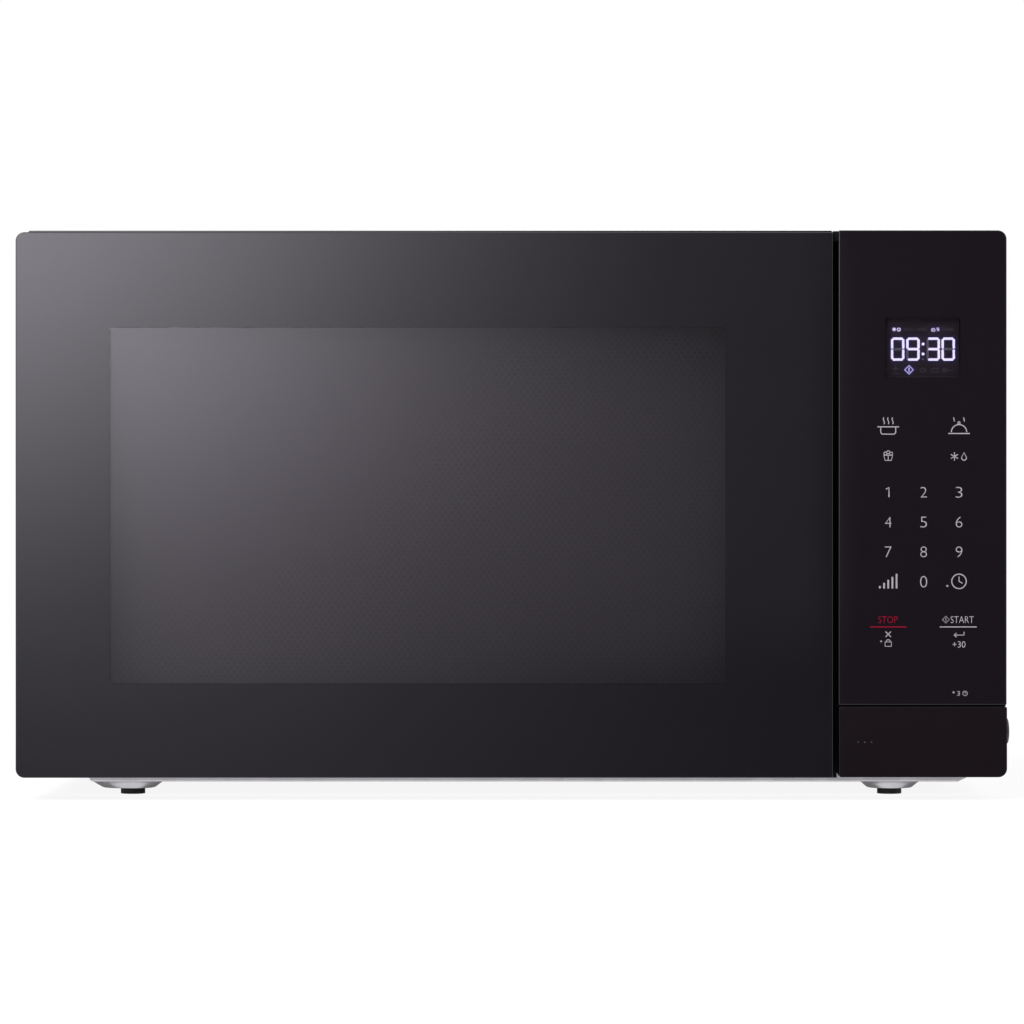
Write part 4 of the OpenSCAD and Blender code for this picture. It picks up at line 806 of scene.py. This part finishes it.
# The colon's two dots, and a small unlit one under them.
colon_x = case_mid.x + 1.1 * MM
for up, size, pieces in ((2.45, 1, lit_pieces), (-2.35, 1, lit_pieces), (-4.85, 0.6, unlit_pieces)):
    piece = another(colon_dot, "dot", colon_x, symbol_y, digit_z + up * MM)
    piece.scale = (size, 1, size)
    pieces.append(piece)
    if pieces is lit_pieces:
        glow_lines.append((colon_x, digit_z + up * MM) * 2)
for each in (level_bar, upright_bar, colon_dot):
    bpy.data.objects.remove(each)


def pen(points, width, closed, y, thick):
    """A flat line of that width through these points, all in millimetres, with rounded sides. It
    lies at y and is thick metres thick."""
    line = bpy.data.curves.new("line", "CURVE")
    line.dimensions = "3D"
    spline = line.splines.new("POLY")
    spline.points.add(len(points) - 1)
    for dot, (x, z) in zip(spline.points, points):
        dot.co = (x * MM, z * MM, 0, 1)
    spline.use_cyclic_u = closed
    line.bevel_depth = width / 2 * MM
    line.bevel_resolution = 1
    line.use_fill_caps = True
    made = bpy.data.objects.new("line", line)
    bpy.context.collection.objects.link(made)
    select_only(made)
    bpy.ops.object.convert(target="MESH")
    made = bpy.context.object
    made.scale.z = thick / (width * MM)
    made.rotation_euler.x = math.radians(90)
    made.location.y = y
    bpy.ops.object.transform_apply()
    return made


def arc(x, z, radius, start=0, end=360, steps=16):
    """Points round a circle, or along part of it, in millimetres and degrees."""
    whole = end - start == 360
    count = steps if whole else steps + 1
    return [(x + radius * math.cos(math.radians(start + (end - start) * i / steps)),
             z + radius * math.sin(math.radians(start + (end - start) * i / steps)))
            for i in range(count)]


def wave(x, z, height, swing=0.3, steps=8):
    """A rising wisp of steam."""
    return [(x + swing * math.sin(2 * math.pi * i / steps), z + height * i / steps)
            for i in range(steps + 1)]


def symbol(points, width, closed=False):
    """A line of the display's mask that lets the light out."""
    return pen(points, width, closed, symbol_y, symbol_thick)


def star(x, z, radius, width, draw, arms=3):
    """Bars crossed through one middle: a snowflake or an asterisk."""
    return [draw([(x - radius * math.cos(a), z - radius * math.sin(a)),
                  (x + radius * math.cos(a), z + radius * math.sin(a))], width)
            for a in (math.pi * (0.5 + i / arms) for i in range(arms))]


def diamond(x, z, half):
    return [(x - half, z), (x, z + half), (x + half, z), (x, z - half)]


def start_mark(x, z, size, width, draw):
    """The usual start symbol: a diamond with an upright bar."""
    half, stem = size / 2, size / 2 * 0.55
    return [draw(diamond(x, z, half), width, True), draw([(x, z - stem), (x, z + stem)], width)]


def one_piece(name, pieces, stuff, body):
    """Joins these pieces into one with this finish, which rides on the body."""
    piece = join(*pieces)
    piece.name = name
    settle(piece)
    dress(piece, stuff)
    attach(piece, body)
    return piece


# The small symbols, in millimetres from the middle. In the upper row frost, a drop, a lid and two
# waves are lit, and three runs of waves are not.
mid, top_row, low_row = case_mid.x / MM, (case_mid.z + 8.85 * MM) / MM, (case_mid.z - 10.8 * MM) / MM
lit_pieces += [*star(mid - 12.8, top_row, 0.95, 0.34, symbol),
               symbol(arc(mid - 10.6, top_row - 0.1, 0.72), 0.34, True),
               symbol([(mid + 5.2, top_row - 0.8), (mid + 6.9, top_row - 0.8)], 0.34),
               symbol(arc(mid + 6.05, top_row - 0.5, 0.85, 0, 180, 8), 0.34)]
lit_pieces += [symbol(wave(mid + x, top_row - 0.8, 1.6, 0.14), 0.3) for x in (7.9, 8.6)]
glow_lines += [((mid + a) * MM, top_row * MM, (mid + b) * MM, top_row * MM)
               for a, b in ((-13.2, -10.4), (5.4, 8.5))]
faint_pieces = [symbol(wave(mid + first + 0.95 * i, top_row - 0.75, 1.5, 0.14), 0.3)
                for first, count in ((-7.6, 5), (-1.4, 5), (10.6, 6)) for i in range(count)]
# In the lower row the start sign is lit; a scale, a cup, a dish, a clock and a dash are not.
start_x, start_z, start_reach = mid - 5.65, low_row + 0.2, 1.6
start_pieces = start_mark(start_x, start_z, 4.1, 0.62, symbol)
ends = [(x * MM, z * MM) for x, z in diamond(start_x, start_z, start_reach)]
glow_lines += [(*a, *b) for a, b in zip(ends, ends[1:] + ends[:1])]
faint_pieces += [symbol([(mid + x0, low_row + z0), (mid + x1, low_row + z1)], 0.35)
                 for x0, z0, x1, z1 in ((-13.7, 0.7, -10.3, 0.7), (-12, -1, -12, 2.3),
                                        (-13.7, -1.7, -10.3, -1.7))]
faint_pieces += [symbol(arc(mid + 0.6, low_row, 0.95), 0.32, True),
                 symbol([(mid + 2.2, low_row + 0.9), (mid + 2.2, low_row - 0.9)], 0.32),
                 symbol([(mid + 5.4, low_row - 0.9), (mid + 8.2, low_row - 0.9),
                         (mid + 8.2, low_row + 0.9), (mid + 5.4, low_row + 0.9)], 0.32, True),
                 symbol(arc(mid + 11.6, low_row, 1.0), 0.32, True),
                 symbol([(mid + 11.6, low_row + 0.6), (mid + 11.6, low_row),
                         (mid + 12.1, low_row)], 0.3),
                 symbol([(mid + 13.6, low_row), (mid + 15.4, low_row)], 0.32)]
# Lit through a lilac filter.
lilac = lamp_finish("light_emitting_symbol_lilac", "#D5D0F4", "#CBC6EE", "#CFC9F5", 1.25)
for name, pieces, stuff in (("display_lit", lit_pieces, lit), ("display_unlit", unlit_pieces, unlit),
                            ("display_faint", faint_pieces, faint),
                            ("display_start", start_pieces, lilac)):
    one_piece(name, pieces, stuff, "chassis")

# The light that spreads in the diffuser: a thin film whose glow falls off from the lit shapes.
def distance_to(line, x, z):
    """How far this point is from a line given by its two ends."""
    x0, z0, x1, z1 = line
    along = ((x - x0) * (x1 - x0) + (z - z0) * (z1 - z0)) / max((x1 - x0) ** 2 + (z1 - z0) ** 2, 1e-12)
    along = min(max(along, 0), 1)
    return math.hypot(x - x0 - along * (x1 - x0), z - z0 - along * (z1 - z0))


def grid(name, middle, size, columns, rows):
    """An upright sheet of squares that faces the front."""
    select_only()
    bpy.ops.mesh.primitive_grid_add(x_subdivisions=columns, y_subdivisions=rows, size=1,
                                    location=middle, rotation=(math.radians(90), 0, 0))
    made = bpy.context.object
    made.name = name
    made.scale = (size.x, size.z, 1)
    bpy.ops.object.transform_apply()
    return made


glow_margin, glow_reach, glow_level = 1.4 * MM, 0.55 * MM, 0.16
halo = grid("display_diffuser_glow", (case_mid.x, face_y - 0.1 * MM, case_mid.z),
            case_high - case_low - Vector((glow_margin, 0, glow_margin)), 110, 84)
spread = halo.data.attributes.new("glow", "FLOAT", "POINT")
for vertex, value in zip(halo.data.vertices, spread.data):
    nearest_lit = min(distance_to(line, vertex.co.x, vertex.co.z) for line in glow_lines)
    value.value = math.exp(-max(nearest_lit - stroke / 2, 0) / glow_reach)
# Polycarbonate with a violet haze, clear wherever nothing shines near.
bleed, tree, output = bare_material("polycarbonate_diffuser_glow")
here = add(tree, "Attribute", {"attribute_name": "glow"}).outputs["Fac"]
level = add(tree, "Math", {"operation": "MULTIPLY", 1: glow_level}, {0: here})
shine = add(tree, "Emission", {"Color": linear("#7A6EE8")}, {"Strength": level})
open_film = add(tree, "BsdfTransparent", {"Color": (1, 1, 1, 1)})
link(tree, output, {"Surface": add(tree, "AddShader", {}, {0: open_film, 1: shine})})
dress(halo, bleed)
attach(halo, "chassis")

# Fascia. A pane like the door's, printed black on the back except over the display, where it is
# only tinted. Its face lies a hair back from the door's, so that the printed key marks end flush.
skin = 0.03 * MM
# Printed black as the door is, with a warmer cast.
fascia_print = finish("float_glass_printed_warm_black", "#201A21", "#1F1920", patch=80,
                      rough=(0.03, 0.05), grain=60, relief=0.002, IOR=1.5)
# A lighter smoke tint, so that the display shows bright and its mask stays dark.
display_glass = tinted_glass("float_glass_lightly_smoked", "#DCDADF", "#D8D6DB", (0.03, 0.04))
fascia = pane_of_glass("fascia_pane", fascia_low + Vector((0, skin, 0)), fascia_high,
                       lambda v: v.x > case_mid.x and v.z > case_mid.z,
                       case_low + Vector((1.4, 0, 0.1)) * MM, case_high - Vector((0.4, 0, 0.1)) * MM,
                       fascia_print, display_glass)
stand_in(fascia, "chassis", "control_fascia")

# Key marks. Pale grey ink screen-printed on the panel: plain digits, start and stop, and small
# drawings for the other keys. Each is a film of ink three hundredths of a millimetre thick.
ink_y = fascia_low.y + 0.7 * skin
# The keys' columns and rows in millimetres: across from the middle of the oven, and up.
key_left, key_mid, key_right = (fascia_low.x / MM + x for x in (23.8, 40.8, 57.8))
dish_row, thaw_row, digit_row, zero_row, start_row, clear_row, hold_row = (
    180.0, 165.5, 148.15, 105.22, 87.0, 80.0, 51.6)
digit_pitch, digit_size, word_h = 14.29, (5.14, 3.2), 3.27
cap_height = 0.73


def letters(text, x, z, height, width, weight=0.0):
    """Plain type as a film of ink, its middle at that place and its size in millimetres."""
    select_only()
    bpy.ops.object.text_add(rotation=(math.radians(90), 0, 0))
    made = bpy.context.object
    made.data.body = text
    made.data.size = height / cap_height * MM
    made.data.offset = weight * MM
    made.data.extrude = skin / 2
    made.data.resolution_u = 4
    bpy.ops.object.convert(target="MESH")
    made = bpy.context.object
    made.scale = (width * MM / made.dimensions.x, height * MM / made.dimensions.y, 1)
    bpy.ops.object.transform_apply()
    corners = [Vector(c) for c in made.bound_box]
    middle = (corners[0] + corners[6]) / 2
    made.location = Vector((x * MM, ink_y, z * MM)) - middle
    bpy.ops.object.transform_apply()
    return made


def ink(points, width=0.5, closed=False):
    """A printed line."""
    return pen(points, width, closed, ink_y, skin)


def rule(x, reach, low, high):
    """The line under a word, from its left to its right end."""
    return bar(((x - reach[0]) * MM, ink_y - skin / 2, low * MM),
               ((x + reach[1]) * MM, ink_y + skin / 2, high * MM))


grey_marks = [letters(mark, x, digit_row - digit_pitch * row, *digit_size, -0.13)
              for row, marks in enumerate((" 23", "456", "789"))
              for mark, x in zip(marks, (key_left, key_mid, key_right)) if mark != " "]
x, z = key_left, digit_row
grey_marks += [ink([(x - 1.1, z + 1.45), (x + 0.35, z + 2.3), (x + 0.35, z - 2.3)], 0.6),
               letters("0", key_mid, zero_row, 5.5, 3.4, -0.13),
               letters("START", key_right + 1.53, start_row, word_h, 11.04, -0.05)]
# A pot with steam.
x, z = key_left, dish_row
grey_marks += [ink([(x - 3.6, z - 0.4), (x - 3.6, z - 3.2), (x - 2.9, z - 3.9), (x + 2.9, z - 3.9),
                    (x + 3.6, z - 3.2), (x + 3.6, z - 0.4)]),
               ink([(x - 5.2, z - 0.4), (x + 5.2, z - 0.4)])]
grey_marks += [ink(wave(x + 2.1 * side, z + 0.9, 3.2), 0.45) for side in (-1, 0, 1)]
# A covered dish with steam.
x = key_right
grey_marks += [ink(arc(x, z - 3.0, 3.7, 0, 180, 14)), ink([(x - 5.2, z - 3.6), (x + 5.2, z - 3.6)]),
               ink(arc(x, z + 1.5, 0.55, steps=10), 0.45, True)]
grey_marks += [ink(wave(x + 2.4 * side, z + 2.2, 1.9, 0.2), 0.42) for side in (-1, 1)]
# A tub of popped corn.
x, z = key_left, thaw_row + 0.1
grey_marks += [ink([(x - 2.1, z + 0.3), (x - 1.5, z - 2.1), (x + 1.5, z - 2.1), (x + 2.1, z + 0.3)],
                   0.42, True), ink([(x, z + 0.2), (x, z - 2.0)], 0.34)]
grey_marks += [ink(arc(x + dx, z + dz, 0.75, steps=10), 0.38, True)
               for dx, dz in ((-1.35, 1.15), (0, 1.75), (1.35, 1.15))]
# A snowflake beside a drop.
x, z = key_right, thaw_row - 0.1
grey_marks += star(x - 2.2, z, 2.0, 0.42, ink)
grey_marks += [ink([(x + 2.4, z + 1.9), (x + 1.3, z - 0.3)] + arc(x + 2.4, z - 0.7, 1.15, 160, 380, 9),
                   0.42, True)]
# Rising bars, and a clock.
x, z = key_left, zero_row + 0.18
grey_marks += [ink([(x - 4 + 2 * i, z - 3.4), (x - 4 + 2 * i, z - 2.2 + 1.45 * i)], 0.85)
               for i in range(5)]
x = key_right
grey_marks += [ink(arc(x, z, 3.5, steps=24), 0.5, True),
               ink([(x, z + 2.3), (x, z), (x + 1.7, z - 0.9)], 0.45)]
grey_marks += star(x - 5.6, z - 2.2, 0.55, 0.3, ink)
# A cross to clear, and a padlock.
x, z = key_left, clear_row
grey_marks += [ink([(x - 1.3, z - 1.3), (x + 1.3, z + 1.3)], 0.45),
               ink([(x - 1.3, z + 1.3), (x + 1.3, z - 1.3)], 0.45)]
grey_marks += [ink([(x - 1.5, z - 5.8), (x + 1.5, z - 5.8), (x + 1.5, z - 3.7), (x - 1.5, z - 3.7)],
                   0.4, True), ink(arc(x, z - 3.6, 1.0, 0, 180, 8), 0.36)]
grey_marks += star(x - 3.4, z - 3.4, 0.5, 0.28, ink)
# A return arrow, and half a minute more.
x = key_right
grey_marks += [ink([(x + 2.4, z + 1.2), (x + 2.4, z - 0.4), (x - 2.4, z - 0.4)], 0.42),
               ink([(x - 1.2, z + 0.6), (x - 2.4, z - 0.4), (x - 1.2, z - 1.4)], 0.42),
               letters("+30", x, z - 4.9, 3.0, 6.2, -0.02)]
# Under the keys: hold for three seconds.
x, z = key_right + 1.0, hold_row
grey_marks += star(x - 3.6, z + 0.5, 0.55, 0.28, ink)
grey_marks += [letters("3", x - 1.3, z, 2.2, 1.4, -0.02),
               ink(arc(x + 1.9, z, 1.1, steps=14), 0.28, True),
               ink([(x + 1.9, z + 0.7), (x + 1.9, z), (x + 2.4, z)], 0.26)]
grey_marks += start_mark(key_right - 6.3, start_row, 3.3, 0.28, ink)
grey_marks.append(rule(key_right, (9.3, 8.5), 83.28, 83.75))
red_marks = [letters("STOP", key_left - 0.1, start_row, word_h, 9.26, -0.05),
             rule(key_left, (8.7, 8.7), 83.25, 83.8)]
# Epoxy ink: flat and even, with the slightest drift of tone from the screen mesh.
grey_ink = finish("screen_printed_ink_grey", "#BEBAC1", "#B6B2B9", patch=2, rough=(0.4, 0.5),
                  grain=0.3, relief=0.002)
red_ink = finish("screen_printed_ink_crimson", "#A0062E", "#97052B", patch=2, rough=(0.4, 0.5),
                 grain=0.3, relief=0.002, Specular_IOR_Level=0.1)
for name, pieces, stuff in (("key_marks_grey", grey_marks, grey_ink),
                            ("key_marks_red", red_marks, red_ink)):
    one_piece(name, pieces, stuff, "chassis")

# Release button. A black ABS cap with a polished face and a skirt; two posts guide it and a rod
# on its back pushes the lever.
button = copy_of("release_button", "release_button_cap")
button_low, button_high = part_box("release_button")
# Its upper right corner is drawn out nearly square, as the fascia's above it is.
for vertex in button.data.vertices:
    out = vertex.co - button_high + Vector((MM, 0, MM))
    if out.x > 0 and out.z > 0:
        grow = (max(out.x, out.z) / MM) ** -0.6 - 1
        vertex.co += Vector((out.x * grow, 0, out.z * grow))
take_up(button)
pick(button, "FACE", lambda c, n: n.y < -0.9 and near(c.y, button_low.y))
bpy.ops.transform.translate(value=(0, skin, 0))
settle(button, 0.45, 3)
# ABS buffed to a mirror, as deep a black as the glass above it.
polished_abs = finish("polished_abs_black", "#211B20", "#1F191E", patch=60, rough=(0.04, 0.07),
                      grain=40, relief=0.002, IOR=1.54)
dress(button, polished_abs)
stand_in(button, "button", "release_button")
# Three raised dots for the fingertip, moulded in the cap and inked grey.
dot_r, dot_pitch = 0.29 * MM, 3.2 * MM
first_dot = button_low + Vector((9.1 * MM, skin, 16.9 * MM))
select_only()
bpy.ops.mesh.primitive_uv_sphere_add(segments=16, ring_count=8, radius=dot_r)
dot = bpy.context.object
dot.scale.y = skin / dot_r
bpy.ops.object.transform_apply()
dots = [another(dot, "dot", first_dot.x + dot_pitch * i, first_dot.y, first_dot.z) for i in range(3)]
bpy.data.objects.remove(dot)
dot_ink = finish("pad_printed_ink_grey", "#5B585C", "#545155", patch=2, rough=(0.4, 0.5), grain=0.3,
                 relief=0.002)
one_piece("button_touch_dots", dots, dot_ink, "button")
coil_spring("button_spring", "chassis")

# Side bumper. A round buffer of soft thermoplastic rubber pressed into the housing's side, with
# steep shoulders and a low crown.
bump_low, bump_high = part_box("side_bumper")
bump_mid, bump_r = (bump_low + bump_high) / 2, (bump_high.z - bump_low.z) / 2
crown_drop = 0.7 * MM
select_only()
bpy.ops.mesh.primitive_cylinder_add(vertices=48, radius=bump_r, depth=bump_high.x - bump_low.x,
                                    location=bump_mid, rotation=(0, math.radians(90), 0))
bumper = bpy.context.object
bumper.name = "side_buffer"
bpy.ops.object.transform_apply()
take_up(bumper)
pick(bumper, "FACE", lambda c, n: n.x > 0.9)
for _ in range(3):
    bpy.ops.mesh.inset(thickness=bump_r / 4)
bpy.ops.object.mode_set(mode="OBJECT")
for vertex in bumper.data.vertices:
    if near(vertex.co.x, bump_high.x):
        out = math.hypot(vertex.co.y - bump_mid.y, vertex.co.z - bump_mid.z) / bump_r
        vertex.co.x -= crown_drop * out ** 2
settle(bumper, 0.6, 3)
# Thermoplastic rubber: dark grey with a satin skin.
soft_rubber = finish("soft_thermoplastic_rubber", "#3A3A3C", "#323234", patch=5, rough=(0.35, 0.45),
                     grain=0.6, relief=0.01)
dress(bumper, soft_rubber)
stand_in(bumper, "chassis", "side_bumper")

# Cabinet. One steel sheet folded over the top and both sides and turned in at the rear and under
# the base, then powder coated black: a fine, even texture with a low sheen.
powder = finish("powder_coat_black_fine", "#1A1A1C", "#18181A", patch=90, rough=(0.47, 0.5),
                grain=0.9, relief=0.03, IOR=1.5)
wrap_low, wrap_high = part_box("outer_cabinet")
inset = Vector((sheet, sheet, sheet))
cabinet = copy_of("outer_cabinet", "folded_cabinet")
round_off(cabinet, 1.9, corners_of(wrap_low, wrap_high), 4)
round_off(cabinet, 1.1, corners_of(wrap_low + inset, wrap_high - inset), 3)
settle(cabinet)
dress(cabinet, powder)
stand_in(cabinet, "chassis", "outer_cabinet")

# Rear of the cabinet. The rear panel is plain galvanised sheet with pressed ventilation slots,
# held by six cross-head screws; two black spacers keep it off the wall and a nylon bush holds
# the cord.
finished_copy("rear_panel", "rear_panel_sheet", "chassis", zinc_sheet, 0.2)
screw_low, screw_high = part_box("cabinet_screws")
head_r, head_h, rim_h, shank_r = 3.5 * MM, 2 * MM, 0.5 * MM, 1.5 * MM
recess_w, recess_reach, recess_depth = 0.75 * MM, 1.8 * MM, 1.2 * MM
seat_y = screw_high.y - head_h
select_only()
bpy.ops.mesh.primitive_cylinder_add(vertices=32, radius=head_r, depth=rim_h,
                                    location=(0, 0, rim_h / 2))
screw = bpy.context.object
take_up(screw)
pick(screw, "FACE", lambda c, n: n.z > 0.9)
bpy.ops.mesh.inset(thickness=0.45 * MM)
extrude(0, 0, head_h - rim_h)
bpy.ops.transform.resize(value=(0.85, 0.85, 1), center_override=(0, 0, head_h))
pick(screw, "FACE", lambda c, n: n.z < -0.9)
bpy.ops.mesh.inset(thickness=head_r - shank_r)
extrude(0, 0, screw_low.y - seat_y)
bpy.ops.object.mode_set(mode="OBJECT")
round_off(screw, 0.7, lambda a, b: near(a.z, head_h) and near(b.z, head_h), 4)
for long, wide in ((recess_reach, recess_w / 2), (recess_w / 2, recess_reach)):
    slot = bar((-long, -wide, head_h - recess_depth), (long, wide, head_h + MM))
    recess = screw.modifiers.new("Cross recess", "BOOLEAN")
    recess.object = slot
    select_only(screw)
    bpy.ops.object.modifier_apply(modifier=recess.name)
    bpy.data.objects.remove(slot)
screw.rotation_euler.x = math.radians(-90)
settle(screw, 0.1)
# Six of them in two columns, each stopped at its own angle.
places = [(x, z) for x in (screw_low.x + head_r, screw_high.x - head_r)
          for z in (screw_low.z + head_r, (screw_low.z + screw_high.z) / 2, screw_high.z - head_r)]
screws = [another(screw, "screw", x, seat_y, z, 37 * number)
          for number, (x, z) in enumerate(places, 1)]
bpy.data.objects.remove(screw)
screws = one_piece("cross_head_screws", screws, zinc_plate, "chassis")
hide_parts("cabinet_screws")
finished_copy("rear_spacers", "rear_spacer_plugs", "chassis", black_nylon, 0.4)
finished_copy("cord_gland", "cord_bush", "chassis", black_nylon, 0.4)

# Studio. A pale floor, white surroundings, a soft lamp from the upper left and a broad softbox
# behind the camera that fades from its upper left corner, so that the black gloss carries one
# long gradient.
floor_z = cad_box[0].z
select_only()
bpy.ops.mesh.primitive_plane_add(size=14, location=(0, 0, floor_z))
floor = bpy.context.object
floor.name = "studio_floor"
floor.visible_glossy = False
pale, tree, shader = new_material("studio_floor_pale", Base_Color=linear("#E6E6E6"), Roughness=0.9)
# To the camera it is nearly white of itself, and only a little darker in the oven's shadow.
seen = add(tree, "LightPath")
white = add(tree, "Emission", {"Color": (1, 1, 1, 1), "Strength": 0.88})
dim = add(tree, "BsdfDiffuse", {"Color": (0.24, 0.24, 0.24, 1)})
both = add(tree, "AddShader", {}, {0: white, 1: dim})
shown = add(tree, "MixShader", {}, {0: seen.outputs["Is Camera Ray"], 1: shader, 2: both})
link(tree, tree.nodes["Material Output"], {"Surface": shown})
dress(floor, pale)


def only_mirrored(piece, stuff):
    """Makes a piece of the studio one that shows in gloss and in nothing else."""
    dress(piece, stuff)
    piece.visible_camera = piece.visible_diffuse = False
    piece.visible_transmission = piece.visible_shadow = False


# Under the oven the floor lies in shade. A dark card that glows faintly and shows only in gloss is that
# shade painted in, and the sheet's lower edges mirror it.
shade_w, shade_d, shade_y = 0.46, 0.336, 0.02
select_only()
bpy.ops.mesh.primitive_plane_add(size=1, location=(0, shade_y, floor_z + 0.5 * MM))
shade = bpy.context.object
shade.name = "studio_floor_in_shade"
shade.scale = (shade_w, shade_d, 1)
bpy.ops.object.transform_apply()
shaded = new_material("studio_floor_shaded", Base_Color=linear("#2A2A2C"), Roughness=0.9,
                      Emission_Color=(1, 1, 1, 1), Emission_Strength=0.22)[0]
only_mirrored(shade, shaded)

# The softbox. Its upper left corner is where the glass mirrors it to the camera at the corner of
# the oven's front, and card_scale is how much larger a length on it is than on the glass.
card_y, card_z, card_size = -2.3, 0.2, Vector((3.4, 0, 2.6))
eye_to_glass = pane_low.y - eye.y
card_scale = (eye_to_glass + pane_low.y - card_y) / eye_to_glass
card_left = eye.x + (pane_low.x - eye.x) * card_scale
card_top = eye.z + (front_top - eye.z) * card_scale
card = grid("studio_softbox", (0, card_y, card_z), card_size, 340, 260)


def ramp(start, end, at):
    """A smooth step from 0 at start to 1 at end."""
    share = min(max((at - start) / (end - start), 0), 1)
    return share * share * (3 - 2 * share)


# Its glow at each point: bright in the upper left corner, a pool low on the left, and even round
# the outside. Across and down are measured in metres on the glass that mirrors the point.
corner_glow, corner_w, corner_h = 5.2, 0.206, 0.1775
upper_glow, pool_glow, pool_x, pool_w = 0.162, 0.29, 0.095, 0.19
glow = card.data.attributes.new("glow", "FLOAT", "POINT")
for vertex, value in zip(card.data.vertices, glow.data):
    across = max((vertex.co.x - card_left) / card_scale, 0)
    down = max((card_top - vertex.co.z) / card_scale, 0)
    corner = math.exp(-2.6 * across - (across / corner_w) ** 2.2
                      - 4 * down - (down / corner_h) ** 2.05)
    pool = math.exp(-(abs(across - pool_x) / pool_w) ** 2)
    upper = ramp(0.228, 0.16, down)
    broad = upper_glow * upper + pool_glow * pool * (1 - upper)
    full = corner_glow * corner + broad * ramp(0.404, 0.378, across)
    rim = max(ramp(0.3, 0.5, abs(vertex.co.x) / card_size.x),
              ramp(0.3, 0.5, abs(vertex.co.z - card_z) / card_size.z))
    value.value = full * (1 - rim) + rim
fade, tree, output = bare_material("softbox_fading_to_the_right")
level = add(tree, "Attribute", {"attribute_name": "glow"}).outputs["Fac"]
link(tree, output, {"Surface": add(tree, "Emission", {"Color": (0.993, 0.957, 1.045, 1)},
                                   {"Strength": level})})
only_mirrored(card, fade)

# A square soft lamp at the upper left, turned to the middle of the front.
lamp = bpy.data.lights.new("studio_lamp", "AREA")
lamp.shape, lamp.size, lamp.energy = "SQUARE", 1.4, 30
lamp_object = bpy.data.objects.new("studio_lamp", lamp)
lamp_object.location, front_middle = Vector((-1.3, -1.7, 1.9)), Vector((0, 0, 0.14))
lamp_object.rotation_euler = (front_middle - lamp_object.location).to_track_quat("-Z", "Y").to_euler()
bpy.context.collection.objects.link(lamp_object)

# White surroundings that give the object a little less light than they show.
world = bpy.data.worlds.new("studio_surroundings")
scene.world = world
world.use_nodes = True
tree = world.node_tree
seen = add(tree, "LightPath")
shown = seen.outputs["Is Camera Ray"]
for ray in ("Is Glossy Ray", "Is Transmission Ray"):
    shown = add(tree, "Math", {"operation": "ADD", "use_clamp": True}, {0: shown, 1: seen.outputs[ray]})
level = add(tree, "MapRange", {"To Min": 0.6, "To Max": 1.0}, {"Value": shown})
tree.nodes["Background"].inputs["Color"].default_value = (1, 1, 1, 1)
link(tree, tree.nodes["Background"], {"Strength": level})
